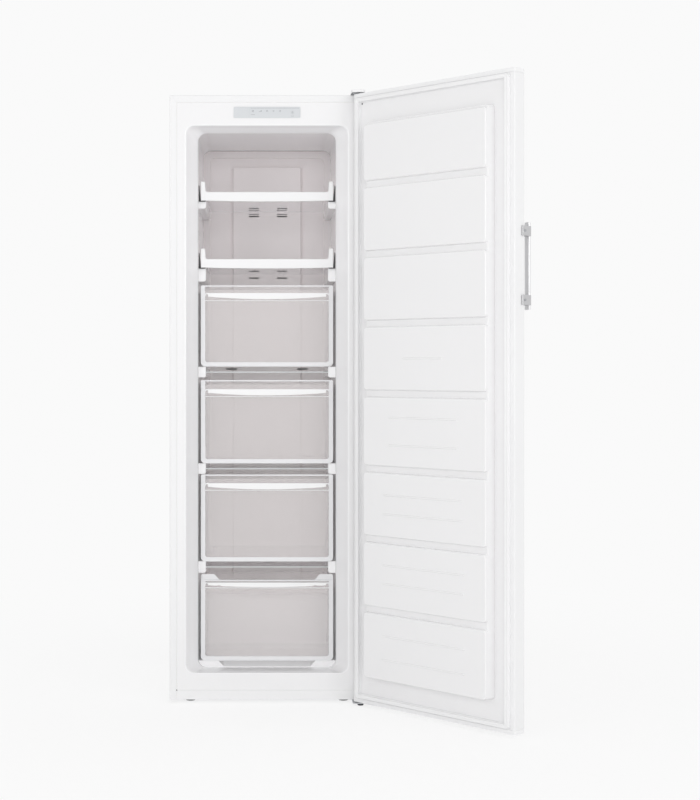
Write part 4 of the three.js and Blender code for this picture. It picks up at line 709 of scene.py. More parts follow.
# the flat front faces get the greyer copy of the liner white, which is painted shade
paint_faces(mould, lambda middle, way: way.y < -0.99 and middle.y < 0.1, liner_white, shaded_liner_white)
seat(mould, liner_white, "cabinet_liner")
tell("liner skin", mould)

# %% [markdown]
# ## The air duct cover
# The rear wall that one sees is a white cover over the evaporator, with a shallow sunk field and a raised
# duct in the middle that blows cold air through slots. Inset and extrude make the sunk field; the duct is a
# second block.

# %% The air duct cover
cover_low, cover_high = extent("duct_cover")
COVER_FRONT, SUNK = 425, 5
SUNK_SIDE, SUNK_FOOT, SUNK_R = 23, 20, 18
DUCT_HALF_W, DUCT_FRONT, DUCT_FOOT, DUCT_TOP_GAP = 113, 418, 292.3, 55
duct_top = HOLLOW[2] - DUCT_TOP_GAP
cover = block("air_cover", (cover_low.x, COVER_FRONT, cover_low.z), cover_high)
round_edges(cover, lambda middle, way: along(way, 1) and middle.z > 1000, 21, 8)
round_edges(cover, lambda middle, way: middle.y < COVER_FRONT + 0.1, 2, 3)
sunk_x = cover_high.x - SUNK_SIDE
sunk = block("sunk", (-sunk_x, COVER_FRONT - 9, cover_low.z + SUNK_FOOT),
             (sunk_x, COVER_FRONT + SUNK, cover_high.z - SUNK_SIDE))
round_edges(sunk, lambda middle, way: along(way, 1), SUNK_R, 8)
round_edges(sunk, lambda middle, way: middle.y > COVER_FRONT + SUNK - 0.1, 3, 3)
carve(cover, sunk)
at_sunk = lambda middle: abs(middle.x) < sunk_x + 0.2 and (
    cover_low.z + SUNK_FOOT - 0.2 < middle.z < cover_high.z - SUNK_SIDE + 0.2)
round_edges(cover, lambda middle, way: abs(middle.y - COVER_FRONT) < 0.1 and abs(way.y) < 0.1
            and at_sunk(middle), 1.5)
duct = block("duct", (-DUCT_HALF_W, DUCT_FRONT, DUCT_FOOT), (DUCT_HALF_W, COVER_FRONT + SUNK + 4, duct_top))
round_edges(duct, lambda middle, way: along(way, 1), 5, 4)
round_edges(duct, lambda middle, way: middle.y < DUCT_FRONT + 0.1, 2.5, 4)
carve(cover, duct, how="UNION")
GROOVE_IN, GROOVE_OUT, GROOVE_DEEP = DUCT_HALF_W - 0.5, DUCT_HALF_W + 7, 1.7
for side in (-1, 1):
    carve(cover, block("groove", (side * GROOVE_IN, COVER_FRONT - 3, DUCT_FOOT + 30),
                       (side * GROOVE_OUT, COVER_FRONT + SUNK + GROOVE_DEEP, duct_top - 6)))
tell("cover", cover)

# %% Its air slots
SLOT_ROWS = [  # middle height, middles across, width and height
    (1523, (-43.5, 50), 34, 2.4), (1516, (-43.5, 50), 34, 4), (1311, (-43.5, 50), 34, 4),
    (1008, (-118.5, 118.5), 37, 5), (700, (-44, 44), 40, 5), (360, (3,), 15, 5),
]
for z, middles, width, height in SLOT_ROWS:
    for x in middles:
        hole = block("hole", (x - width / 2, DUCT_FRONT - 5, z - height / 2),
                     (x + width / 2, cover_high.y + 5, z + height / 2))
        round_edges(hole, lambda middle, way: along(way, 1), height / 2 - 0.1, 4)
        carve(cover, hole)
carve(cover, block("duct_inside", (-DUCT_HALF_W + 4, DUCT_FRONT + 3.5, DUCT_FOOT + 4),
                   (DUCT_HALF_W - 4, cover_high.y + 5, duct_top - 4)))
seat(cover, duct_white, "duct_cover")

# %% [markdown]
# A small moulded clip sits on the duct above each pair of upper slots and holds the cover. It is a block
# with two rounded lower corners, copied by a loop.

# %% Clips over the upper slots
CLIP_W, CLIP_LOW, CLIP_HIGH, CLIP_OUT = 16, 1538, 1560, 3
clips = []
for x in SLOT_ROWS[0][1]:
    clip = block("clip", (x - CLIP_W / 2, DUCT_FRONT - CLIP_OUT, CLIP_LOW),
                 (x + CLIP_W / 2, DUCT_FRONT + 0.4, CLIP_HIGH))
    round_edges(clip, lambda middle, way: along(way, 1) and middle.z < CLIP_LOW + 1, 4, 5)
    round_edges(clip, lambda middle, way: middle.y < DUCT_FRONT - CLIP_OUT + 0.1, 1, 3)
    clips.append(clip)
seat(join_up("cover_clips", clips), satin_white, body="cabinet")
print(len(clips), "clips")

# %% [markdown]
# ## Glass
# The shelves and the plates between the drawers are the same thing at five heights: a toughened glass sheet
# with rounded corners and ground edges. One function makes them all from their solids' sizes.

# %% Shelves and plates of glass


def glass_sheet(name):
    low, high = extent(name)
    made = block("sheet_" + name, low, high)
    round_edges(made, lambda middle, way: along(way, 2), 4, 5)
    soften(made, 0.7)
    paint_faces(made, lambda middle, way: abs(way.z) < 0.8, clear_glass, ground_edge)
    return seat(made, clear_glass, name)


for name in ["glass_shelf_1", "glass_shelf_2", "glass_plate_1", "glass_plate_2", "glass_plate_3"]:
    tell(name, glass_sheet(name))

# %% [markdown]
# ## Shelf rails
# A white moulded rail runs along the front of each shelf and rises at both ends into a post that keeps
# packages from sliding off. It is one cube, cut near its ends by bisect so that the end faces can be
# extruded upwards.

# %% Rails with their end posts
RAIL_H, POST_H, POST_W, POST_DRAFT = 26, 33, 14.5, 2
RAIL_LIP, RAIL_BOW, RAIL_COLUMNS = 6, 3, 16


def shelf_rail(i):
    low, high = extent(f"shelf_rail_{i}")
    bottom = high.z - POST_H - RAIL_H - 0.3
    top = high.z - POST_H
    rail = block(f"rail_{i}", (low.x, low.y, bottom), (high.x, high.y, top))
    for side in (-1, 1):
        bisect(rail, (side * (high.x - POST_W), 0, 0), (1, 0, 0))
    pick(rail, "FACE", lambda middle, way: way.z > 0.9 and abs(middle.x) > high.x - POST_W)
    extrude_by(0, 0, POST_H)
    for side in (-1, 1):
        pick(rail, "FACE", lambda middle, way: way.z > 0.9 and middle.z > top + 1 and middle.x * side > 0)
        bpy.ops.transform.resize(
            value=((POST_W - POST_DRAFT) / POST_W, 0.8, 1), center_override=(side * high.x, high.y, 0))
    columns = [low.x + column * (high.x - low.x) / RAIL_COLUMNS for column in range(1, RAIL_COLUMNS)]
    for x in columns:
        bisect(rail, (x, 0, 0), (1, 0, 0))
    for x in columns:
        pick(rail, "EDGE", lambda middle, way: along(way, 1) and abs(middle.x - x) < 0.1
             and middle.z < bottom + 0.1)
        bpy.ops.transform.translate(value=(0, 0, -RAIL_BOW * (1 - (x / high.x) ** 2)))
    corner = lambda middle: abs(abs(middle.x) - high.x + POST_W) < 0.5
    round_edges(rail, lambda middle, way: along(way, 1) and corner(middle)
                and abs(middle.z - top) < 0.5, 6, 5)
    round_edges(rail, lambda middle, way: along(way, 1) and middle.z > top + POST_H - 1, 3, 4)
    glass_low, glass_high = extent(f"glass_shelf_{i}")
    carve(rail, block("glass_groove", (glass_low.x - 0.3, low.y + RAIL_LIP, low.z - 9),
                      (glass_high.x + 0.3, high.y + 5, glass_high.z + 0.3)))
    soften(rail, 1.4, 3, 40)
    return seat(rail, satin_white, f"shelf_rail_{i}")


for i in (1, 2):
    tell(f"rail {i}", shelf_rail(i))

# %% [markdown]
# A dark L shows at each end of both rails: the shadow in the narrow gap between the rail and the liner.
# It is painted shade, a black strip beside the post, with a foot that is extruded from its side, under the
# rail's end.

# %% Black strips of painted shade at the rails' ends
SHADE_STRIP_IN, SHADE_STRIP_OUT, SHADE_STRIP_Y = 204.3, 210.5, (56.5, 63.6)
SHADE_STRIP_UP, SHADE_STRIP_DOWN, SHADE_STRIP_FOOT, SHADE_STRIP_GAP = 46, 2.8, 14, 0.6


def rail_shade_strips(i):
    rail_end = extent(f"shelf_rail_{i}")[1].z - POST_H - RAIL_H - 0.3
    parts = []
    for side in (-1, 1):
        strip = block("strip", (side * SHADE_STRIP_IN, SHADE_STRIP_Y[0], rail_end - SHADE_STRIP_DOWN),
                      (side * SHADE_STRIP_OUT, SHADE_STRIP_Y[1], rail_end + SHADE_STRIP_UP))
        bisect(strip, (0, 0, rail_end - SHADE_STRIP_GAP), (0, 0, 1))
        pick(strip, "FACE", lambda middle, way: way.x * side < -0.9 and middle.z < rail_end - SHADE_STRIP_GAP)
        extrude_by(-side * SHADE_STRIP_FOOT, 0, 0)
        pick(strip, "FACE", lambda middle, way: way.z > 0.9 and middle.z > rail_end + 1)
        bpy.ops.transform.resize(value=(0.3, 1, 1), center_override=(side * SHADE_STRIP_OUT, 0, 0))
        parts.append(strip)
    shade_strips = join_up(f"rail_shade_strips_{i}", parts)
    soften(shade_strips, 0.4)
    # black plastic standing in for the shadow in the gap beside the rail's end: painted shade
    return seat(shade_strips, black_plastic, body="cabinet")


for i in (1, 2):
    tell(f"buffers {i}", rail_shade_strips(i))

# %% [markdown]
# ## Drawers
# Each drawer is two clear mouldings: a front with a thick frame, a thin window, a sunk strip and a hooded
# grip, and a tub behind it. Clear plastic shows its form only by its edges, so those are rounded with care.
# The front starts as a rounded slab; window and strip are pressed into it, and the hood is a block whose
# lower edge is bowed down.

# %% Drawer fronts
FRAME_W, PANE_T = 13, 3
GRIP_D, GRIP_INSET = 10, 17
# each grip's upper line below the drawer's top, and the hood's height at its ends and in its middle
GRIPS = {1: (27, 11, 19), 2: (31, 11, 19), 3: (29, 11, 19), 4: (10, 8, 14)}
BAR_H, GRIP_T = 3, 2
LEDGE_DROP, LEDGE_OUT, LEDGE_HALF = 4, 2.4, 1.3
EAR_H, EAR_W, EAR_SLOPE = 17, 41, 16
FRONT_D = 8
HOOD_COLUMNS = 16


def grip_hood(front, half, face_y, line, end_h, mid_h):
    """Pulls a hood out of the bar over the window and bows its lower edge down in the middle."""
    for x in (-half, half, -half + GRIP_T, half - GRIP_T):
        bisect(front, (x, 0, 0), (1, 0, 0))
    on_bar = lambda middle: abs(middle.x) < half and line < middle.z < line + BAR_H
    pick(front, "FACE", lambda middle, way: way.y < -0.9 and on_bar(middle))
    extrude_by(0, GRIP_T - GRIP_D, 0)
    extrude_by(0, -GRIP_T, 0)
    step = 2 * (half - GRIP_T) / HOOD_COLUMNS
    columns = [-half + GRIP_T + column * step for column in range(1, HOOD_COLUMNS)]
    for x in columns:
        pick(front, "FACE", lambda middle, way: middle.y < face_y and abs(middle.x) < half - GRIP_T)
        bpy.ops.mesh.bisect(plane_co=(x, 0, 0), plane_no=(1, 0, 0))
    pick(front, "FACE", lambda middle, way: way.z < -0.9 and abs(middle.z - line) < 0.1 and (
        middle.y < face_y - GRIP_D + GRIP_T or (middle.y < face_y and abs(middle.x) > half - GRIP_T)))
    extrude_by(0, 0, BAR_H - end_h)
    foot = line + BAR_H - end_h
    for x in columns:
        pick(front, "EDGE", lambda middle, way: along(way, 1) and abs(middle.x - x) < 0.1
             and middle.z < foot + 0.1 and middle.y < face_y - GRIP_D + GRIP_T)
        bpy.ops.transform.translate(value=(0, 0, -(mid_h - end_h) * (1 - (x / half) ** 2)))


def drawer_front(i):
    low, high = extent(f"drawer_{i}_front")
    ears = EAR_H if i == 4 else 0
    top, back = high.z - ears, high.y
    face_y = back - FRONT_D
    front = block(f"front_{i}", (low.x, face_y, low.z), (high.x, back, top))
    inner = high.x - FRAME_W
    below_top, end_h, mid_h = GRIPS[i]
    line = top - below_top
    strip_low, strip_high = line + BAR_H, top - 4
    for x in (-inner, inner):
        bisect(front, (x, 0, 0), (1, 0, 0))
    for z in (low.z + FRAME_W, line, strip_low, strip_high):
        bisect(front, (0, 0, z), (0, 0, 1))
    if ears:
        bisect(front, (0, back - PANE_T, 0), (0, 1, 0))
        for side in (-1, 1):
            bisect(front, (side * (high.x - EAR_W - EAR_SLOPE), 0, 0), (1, 0, 0))
            pick(front, "FACE", lambda middle, way: way.z > 0.9 and middle.y > back - PANE_T
                 and middle.x * side > high.x - EAR_W - EAR_SLOPE)
            extrude_by(0, 0, EAR_H)
            bpy.ops.transform.resize(
                value=(EAR_W / (EAR_W + EAR_SLOPE), 1, 1), center_override=(side * high.x, 0, 0))
    pick(front, "FACE", lambda middle, way: way.y < -0.9 and abs(middle.x) < inner and (
        low.z + FRAME_W < middle.z < line or strip_low < middle.z < strip_high))
    extrude_by(0, FRONT_D - PANE_T, 0)
    round_edges(front, lambda middle, way: along(way, 1) and abs(abs(middle.x) - inner) < 0.1
                and middle.y < back - PANE_T and low.z + 1 < middle.z < line + 0.1, 9, 6)
    round_edges(front, lambda middle, way: along(way, 1) and abs(abs(middle.x) - high.x) < 0.1
                and middle.z < low.z + 1, 16, 8)
    round_edges(front, lambda middle, way: along(way, 1) and abs(abs(middle.x) - high.x) < 0.1
                and middle.z > high.z - 1, 5, 4)
    grip_hood(front, high.x - GRIP_INSET, face_y, line, end_h, mid_h)
    soften(front, 0.9, 3, 35)
    in_window = lambda middle: low.z + FRAME_W < middle.z < line or strip_low < middle.z < strip_high
    paint_faces(front, lambda middle, way: not (
        abs(middle.x) < inner and in_window(middle) and middle.y > back - PANE_T - 0.1),
                clear_plastic, milky_plastic)
    # the hood faces get the nearly white plastic: a painted highlight for the reflection on the clear hood
    paint_faces(front, lambda middle, way: middle.y < face_y - 0.1, hood_highlight_plastic)
    ledge_z = line + BAR_H - mid_h - LEDGE_DROP
    ledge = block(f"ledge_{i}", (-inner + 0.5, back - PANE_T - LEDGE_OUT, ledge_z - LEDGE_HALF),
                  (inner - 0.5, back - PANE_T + 0.2, ledge_z + LEDGE_HALF))
    round_edges(ledge, lambda middle, way: middle.y < back - PANE_T - LEDGE_OUT + 0.1, 1.0, 3)
    # the ledge takes the hood's nearly white plastic too, with its painted highlight
    seat(ledge, hood_highlight_plastic, body=nodes[f"drawer_{i}_front"]["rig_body"])
    return seat(front, clear_plastic, f"drawer_{i}_front")


for i in (1, 2, 3, 4):
    tell(f"drawer front {i}", drawer_front(i))

# %% [markdown]
# The tub is a cube that narrows downwards. Its top is inset by the wall's thickness and pushed down to the
# floor, and a band round its top edge is pushed outwards for the rim.

# %% Drawer tubs
TUB_T, TUB_R, TUB_TAPER, TUB_RIM, TUB_RIM_T = 2.2, 12, 4, 4, 3


def drawer_tub(i):
    low, high = extent(f"drawer_{i}_tub")
    half, back = high.x - TUB_RIM, high.y - TUB_RIM
    tub = block(f"tub_{i}", (-half, low.y, low.z), (half, back, high.z))
    pick(tub, "FACE", lambda middle, way: way.z < -0.9)
    bpy.ops.transform.resize(value=((half - TUB_TAPER) / half, 1, 1), center_override=(0, low.y, 0))
    bpy.ops.transform.resize(value=(1, 1 - TUB_TAPER / (back - low.y), 1), center_override=(0, low.y, 0))
    round_edges(tub, lambda middle, way: abs(way.z) > 0.9, TUB_R, 6)
    bisect(tub, (0, 0, high.z - TUB_RIM_T), (0, 0, 1))
    pick(tub, "FACE", lambda middle, way: middle.z > high.z - TUB_RIM_T and abs(way.z) < 0.5
         and way.y > -0.05)
    bpy.ops.mesh.extrude_region_shrink_fatten(TRANSFORM_OT_shrink_fatten={"value": TUB_RIM})
    pick(tub, "FACE", lambda middle, way: way.z > 0.9 and middle.y > low.y + 20 and abs(middle.x) < half - 20)
    bpy.ops.mesh.inset(thickness=TUB_T)
    extrude_by(0, 0, low.z - high.z + TUB_T)
    bpy.ops.transform.resize(value=((half - TUB_TAPER) / half, 1, 1), center_override=(0, low.y, 0))
    round_edges(tub, lambda middle, way: middle.z < low.z + TUB_T + 0.1 and abs(way.z) < 0.1, 1.6, 3)
    soften(tub, 0.6, 2, 40)
    # the tub's side walls get the cloudier plastic that passes less light, which is painted shade in the side
    # gaps
    paint_faces(tub, lambda middle, way: abs(way.x) > 0.9 and middle.z < high.z - TUB_RIM_T,
                tub_plastic, tub_side_shading_plastic)
    return seat(tub, tub_plastic, f"drawer_{i}_tub")


for i in (1, 2, 3, 4):
    tell(f"drawer tub {i}", drawer_tub(i))

# %% [markdown]
# ## The door's inner side
# The door liner is formed like the cabinet's, with a raised field and eight cushions on it that keep the
# shut door off the drawers. Each cushion is a cube whose outer face is a little smaller than its root, with
# rounded corners. They are joined to the bed of the field, the skin is kept, and Solidify makes it a sheet.

# %% The door liner
FIELD = (228, 90, 1739)  # half width, bottom and top
FIELD_FACE, CUSHION_FACE = 14, 26
GROOVE_TOPS = [0.895, 0.769, 0.6435, 0.518, 0.3827, 0.2565, 0.1298]
GROOVE_W = 15
CUSHION_TOP, BED_TOP = 1739, 1748
BORDER_Y, LINER_T = -13.1, 1.5
liner_low, liner_high = extent("door_liner", DOOR)


def cushion(name, half, bottom, top, root, face, radius, draft, edge):
    made = block(name, (-half, root, bottom), (half, face, top))
    pick(made, "FACE", lambda middle, way: way.y > 0.9)
    resize_section((half, bottom, top), (half - draft, bottom + draft, top - draft), face)
    round_edges(made, lambda middle, way: abs(way.y) > 0.7, radius, 6)
    round_edges(made, lambda middle, way: abs(middle.y - face) < 0.1, edge, 4)
    return made


field = block("door_inside", (liner_low.x, BORDER_Y - LINER_T, liner_low.z),
              (liner_high.x, BORDER_Y, liner_high.z))
carve(field, cushion("bed", FIELD[0], FIELD[1], BED_TOP, BORDER_Y - 0.5, FIELD_FACE, 12, 3.6, 2), how="UNION")
levels = [FIELD[1] + share * (FIELD[2] - FIELD[1]) for share in GROOVE_TOPS]
tops = [CUSHION_TOP] + [z - GROOVE_W for z in levels]
bottoms = levels + [FIELD[1]]
for top, bottom in zip(tops, bottoms):
    panel = cushion("cushion", FIELD[0], bottom, top, BORDER_Y - 0.7, CUSHION_FACE, 10, 3.5, 2.5)
    carve(field, panel, how="UNION")
tell("door liner", field)

# %% Its raised lines
LINE_HALF, LINE_OUT = 2.5, 2
LINES = [  # cushion counted from the bottom, half length and heights, both as shares of the cushion
    (0, 0.66, (0.17, -0.18)), (1, 0.66, (0.16, -0.12)), (2, 0.64, (0.15, -0.14)), (3, 0.55, (0.2, -0.19)),
    (4, 0.31, (0,)),
]
for number, reach, shares in LINES:
    top, bottom = tops[-1 - number], bottoms[-1 - number]
    for share in shares:
        z = (top + bottom) / 2 + share * (top - bottom)
        x = reach * FIELD[0]
        line = block("line", (-x, CUSHION_FACE - 1, z - LINE_HALF),
                     (x, CUSHION_FACE + LINE_OUT, z + LINE_HALF))
        round_edges(line, lambda middle, way: along(way, 1), 2.4, 4)
        round_edges(line, lambda middle, way: abs(middle.y - CUSHION_FACE - LINE_OUT) < 0.1, 1.6)
        carve(field, line, how="UNION")
drop_faces(field, lambda middle, way: middle.y < BORDER_Y - 0.02)
apply_modifier(field, "SOLIDIFY", thickness=LINER_T, offset=-1)
# the door's inner side gets the greyer copy of the liner white, which is painted shade
seat(field, shaded_liner_white, "door_liner", DOOR)
tell("door liner skin", field)

# %% [markdown]
# ## Door skin and casing
# The door's steel is one sheet folded round four sides, with a lip on the inner side that holds the liner.
# The cabinet's casing is folded the same way round its front. Both are a cube with rounded edges, opened
# where the sheet ends and given its thickness by Solidify.

# %% The door's steel
skin_low, skin_high = extent("door_skin", DOOR)
LIP_W, SHEET = 15, 0.8
skin = block("door_steel", skin_low, skin_high)
round_edges(skin, lambda middle, way: along(way, 2) and middle.y < skin_low.y + 1, 12, 8)
round_edges(skin, lambda middle, way: along(way, 2) and middle.y > skin_high.y - 1, 2.5, 4)
for side in (-1, 1):
    bisect(skin, (side * (skin_high.x - LIP_W), 0, 0), (1, 0, 0))
drop_faces(skin, lambda middle, way: abs(way.z) > 0.9 or (way.y > 0.9 and abs(middle.x) < 100))
apply_modifier(skin, "SOLIDIFY", thickness=SHEET, offset=-1)
seat(skin, white_paint, "door_skin", DOOR)
tell("door steel", skin)

# %% The cabinet's casing
shell_low, shell_high = extent("outer_shell")
RETURN_W, BEND_R = 22, 4
casing = block("casing", shell_low, shell_high)
on_top = lambda middle: middle.z > shell_high.z - 1
round_edges(casing, lambda middle, way: (along(way, 2) and middle.y < 1) or (
    on_top(middle) and not (along(way, 0) and middle.y > 100)), BEND_R, 5)
for side in (-1, 1):
    bisect(casing, (side * (shell_high.x - RETURN_W), 0, 0), (1, 0, 0))
bisect(casing, (0, 0, shell_high.z - RETURN_W), (0, 0, 1))
drop_faces(casing, lambda middle, way: way.y > 0.9 or way.z < -0.9 or (
    way.y < -0.9 and abs(middle.x) < 100 and middle.z < shell_high.z - RETURN_W))
apply_modifier(casing, "SOLIDIFY", thickness=SHEET, offset=-1)
seat(casing, white_paint, "outer_shell")
tell("casing", casing)

# %% [markdown]
# ## The handle
# A flat metal bar on two bent straps. The bar is a cube with rounded edges; its ends are closed by dark
# plastic caps, which are the bar's end faces, inset and painted.

# %% Handle bar
bar_low, bar_high = extent("handle_bar", DOOR)
bar = block("bar", bar_low, bar_high)
round_edges(bar, lambda middle, way: along(way, 2), 3, 5)
for side in (-1, 1):
    pick(bar, "FACE", lambda middle, way: way.z * side > 0.9)
    bpy.ops.mesh.inset(thickness=0.6)
bar_x = (bar_low.x + bar_high.x) / 2
paint_faces(bar, lambda middle, way: abs(way.z) > 0.9 and abs(middle.x - bar_x) < 2,
            handle_metal, black_plastic)
seat(bar, handle_metal, "handle_bar", DOOR)
tell("handle bar", bar)

# %% [markdown]
# ## Screws
# One pan-head screw is modelled: a disc with a rounded rim and a cross cut into it by two blocks. Copies of
# it, each with its own mesh, go wherever the real freezer is screwed together.

# %% Screws


def make_screw(radius):
    """A pan head that stands on z = 0 and looks up."""
    height = radius * 0.6
    head = disc("screw", (0, 0, 0), radius, height, sides=20)
    round_edges(head, lambda middle, way: middle.z > height - 0.01 and abs(way.z) < 0.1, radius * 0.4, 4)
    for reach, width, depth in ((0.55, 0.11, 0.3), (0.11, 0.5, 0.27)):
        carve(head, block("cross", (-reach * radius, -width * radius, height * depth),
                          (reach * radius, width * radius, height * 2)))
    return head


def screws(name, radius, spots, way, body, material, place=CABINET):
    """Copies of one screw, all looking the same way, made one piece."""
    master = make_screw(radius)
    turn = Vector(way).to_track_quat("Z", "Y").to_matrix().to_4x4()
    parts = []
    for spot in spots:
        copy = bpy.data.objects.new("screw", master.data.copy())
        scene.collection.objects.link(copy)
        copy.data.transform(Matrix.Translation(spot) @ turn)
        parts.append(copy)
    bpy.data.objects.remove(master)
    print(name, len(parts), "screws")
    return seat(join_up(name, parts), material, body=body, place=place)


bracket_low = extent("handle_bracket_upper", DOOR)[0]
bracket_levels = [sum(c.z for c in extent(f"handle_bracket_{word}", DOOR)) / 2 for word in ("upper", "lower")]
HANDLE_SCREW_Y = -53
handle_spots = [(bracket_low.x, HANDLE_SCREW_Y, z) for z in bracket_levels]
screws("handle_screws", 3.6, handle_spots, (-1, 0, 0), "door", zinc, DOOR)
back_high = extent("back_panel")[1]
BACK_EDGE, BACK_SUNK = 9, 1.2
SIDE_LEVELS, TOP_PLACES = (225, 620, 1020, 1420, 1820), (-145, 0, 145)
back_y = back_high.y - BACK_SUNK
back_spots = [(side * (back_high.x - BACK_EDGE), back_y, z) for side in (-1, 1) for z in SIDE_LEVELS]
back_spots += [(x, back_y, back_high.z - BACK_EDGE) for x in TOP_PLACES]
screws("back_screws", 4.2, back_spots, (0, 1, 0), "cabinet", zinc)
plate_low = extent("bottom_hinge_bracket")[0]
hinge_spots = [(x, y, plate_low.z) for x, y in ((268.5, 12), (286.5, 12), (277.5, 52))]
screws("hinge_screws", 5, hinge_spots, (0, 0, -1), "cabinet", zinc)
SEAM_X, SEAM_Y, SEAM_Z = 275.6, 1.1, 28.9
seam_spots = [(side * SEAM_X, SEAM_Y, SEAM_Z) for side in (-1, 1)]
screws("seam_plugs", 2.2, seam_spots, (0, -1, 0), "cabinet", black_plastic)
LINER_PLUG = (262, BORDER_Y, 1808)
screws("liner_plug", 2.4, [LINER_PLUG], (0, 1, 0), "door", black_plastic, DOOR)

# %% [markdown]
# ## The door's gasket
# The magnetic gasket is a soft extrusion with three steps: a foot in the door, a narrow bellows and a flat
# head with a shallow groove, which hides the magnet. Each step is a rounded slab with a rounded opening cut
# out of it.

# %% Gasket
gasket_low, gasket_high = extent("door_gasket", DOOR)
GASKET_W, GASKET_R = 13.5, 9


def gasket_ring(name, inset, y0, y1):
    """One step of the gasket: a rounded slab from y0 to y1 with a rounded opening."""
    outer = block(name, (gasket_low.x + inset, y0, gasket_low.z + inset),
                  (gasket_high.x - inset, y1, gasket_high.z - inset))
    round_edges(outer, lambda middle, way: along(way, 1), GASKET_R - inset, 5)
    w = GASKET_W - inset
    inner = block("opening", (gasket_low.x + w, y0 - 5, gasket_low.z + w),
                  (gasket_high.x - w, y1 + 5, gasket_high.z - w))
    round_edges(inner, lambda middle, way: along(way, 1), 2, 3)
    carve(outer, inner)
    return outer


gasket = gasket_ring("gasket", 1, -3.6, gasket_high.y)
pick(gasket, "FACE", lambda middle, way: way.y > 0.9)
bpy.ops.mesh.inset(thickness=3.4)
extrude_by(0, -1.0, 0)
bellows, root = gasket_ring("bellows", 3.4, -11.5, -3.1), gasket_ring("root", 0, gasket_low.y, -10.8)
carve(gasket, bellows, root, how="UNION")
soften(gasket, 0.45, 2, 40)
seat(gasket, gasket_white, "door_gasket", DOOR)
tell("gasket", gasket)

# %% [markdown]
# ## Marks on the control strip
# The strip carries a few small signs and a fine line. They are kept general: rings, bars and a star of
# cold. Each is a thin body on the strip's face, because a painted sign on a real strip is also a thin
# layer.

# %% Marks
MARK_T = 0.25
panel_low = extent("control_panel")[0]
MARK_Y = (panel_low.y - MARK_T, panel_low.y)
MARK_Z = 1796
MARK_XS = (-43, -20, 0, 20, 40)
mark_grey = finish("mark_grey", "grey_panel", (0.33, 0.34, 0.36), 0.5, scale=1500, bump=0.02)


def bar_mark(x, z, half_w, half_h):
    return block("bar_mark", (x - half_w, MARK_Y[0], z - half_h), (x + half_w, MARK_Y[1], z + half_h))


def ring_mark(x, z, radius, line):
    ring = disc("ring_mark", (x, MARK_Y[0], z), radius, MARK_T, "Y", 24)
    carve(ring, disc("middle", (x, MARK_Y[0] - 1, z), radius - line, 3, "Y", 24))
    return ring


def star_mark(x, z, reach):
    arms = []
    for turn in range(3):
        arm = bar_mark(0, 0, reach, 0.3)
        arm.data.transform(Matrix.Translation((x, 0, z)) @ Matrix.Rotation(turn * math.pi / 3, 4, "Y"))
        arms.append(arm)
    return arms


marks = [ring_mark(MARK_XS[0], MARK_Z, 3.1, 0.8), bar_mark(MARK_XS[0], MARK_Z, 0.5, 1.4)]
marks += [bar_mark(MARK_XS[0], 1785, 6, 0.35)]
for step, reach in ((-1, 1), (0, 1.7), (1, 2.4)):
    marks.append(bar_mark(MARK_XS[1] + 3 * step, MARK_Z - 2.4 + reach, 0.7, reach))
marks += star_mark(MARK_XS[2], MARK_Z, 3.2)
marks += [ring_mark(MARK_XS[3], MARK_Z, 2.4, 0.7)]
marks += [bar_mark(MARK_XS[4], MARK_Z + rise, 2.6, 0.35) for rise in (-2, 0, 2)]
marks += [bar_mark(24, 1804.6, 74, 0.3)]
button_low, button_high = extent("control_button")
button_x = (button_low.x + button_high.x) / 2
marks += [bar_mark(button_x, 1780.5, 5, 0.35)]
print(len(marks), "marks")
seat(join_up("panel_marks", marks), mark_grey, body="cabinet")

# %% Mark on the button
button_z = (button_low.z + button_high.z) / 2
button_ring = disc("button_mark", (button_x, button_low.y - 0.15, button_z), 2.4, MARK_T, "Y", 24)
carve(button_ring, disc("middle", (button_x, button_low.y - 1, button_z), 1.8, 3, "Y", 24))
seat(button_ring, mark_grey, body="control_button")
tell("button mark", button_ring)

# %% [markdown]
# ## The compressor
# A black enamelled pot in two pressed halves with a welded seam, on a plate with four rubber feet. The pot
# is a cylinder whose rims are rounded widely; the seam is a band of its side that is pushed outwards.

# %% Compressor
pot_low, pot_high = extent("compressor")
POT_R, POT_FOOT_H, SEAM_LOW, SEAM_HIGH, SEAM_OUT = 74, 12, 0.47, 0.52, 3
POT_TOP_R, POT_FOOT_R = 36, 18
LID_STEPS = ((16, 3.5), (12, 1.2))  # how far in and how far up
pot_x, pot_y = (pot_low.x + pot_high.x) / 2, (pot_low.y + pot_high.y) / 2
pot_z, pot_top = pot_low.z + POT_FOOT_H, pot_high.z - 5
pot = disc("pot", (pot_x, pot_y, pot_z), POT_R, pot_top - pot_z, sides=48)
round_edges(pot, lambda middle, way: middle.z > pot_top - 0.1, POT_TOP_R, 8)
round_edges(pot, lambda middle, way: middle.z < pot_z + 0.1, POT_FOOT_R, 5)
seam = [pot_z + share * (pot_top - pot_z) for share in (SEAM_LOW, SEAM_HIGH)]
for z in seam:
    bisect(pot, (0, 0, z), (0, 0, 1))
pick(pot, "FACE", lambda middle, way: seam[0] < middle.z < seam[1] and abs(way.z) < 0.5)
bpy.ops.mesh.extrude_region_shrink_fatten(TRANSFORM_OT_shrink_fatten={"value": SEAM_OUT})
pick(pot, "FACE", lambda middle, way: way.z > 0.99)
for width, rise in LID_STEPS:
    bpy.ops.mesh.inset(thickness=width)
    bpy.ops.transform.translate(value=(0, 0, rise))
bpy.ops.object.mode_set(mode="OBJECT")
plate = block("plate", (pot_low.x, pot_y - 50, pot_z + 2), (pot_high.x, pot_y + 50, pot_z + 5))
round_edges(plate, lambda middle, way: along(way, 2), 20, 6)
round_edges(plate, lambda middle, way: abs(way.z) < 0.1, 0.8, 2)
parts = [pot, plate]
FEET_X, FEET_Y = 85, 35
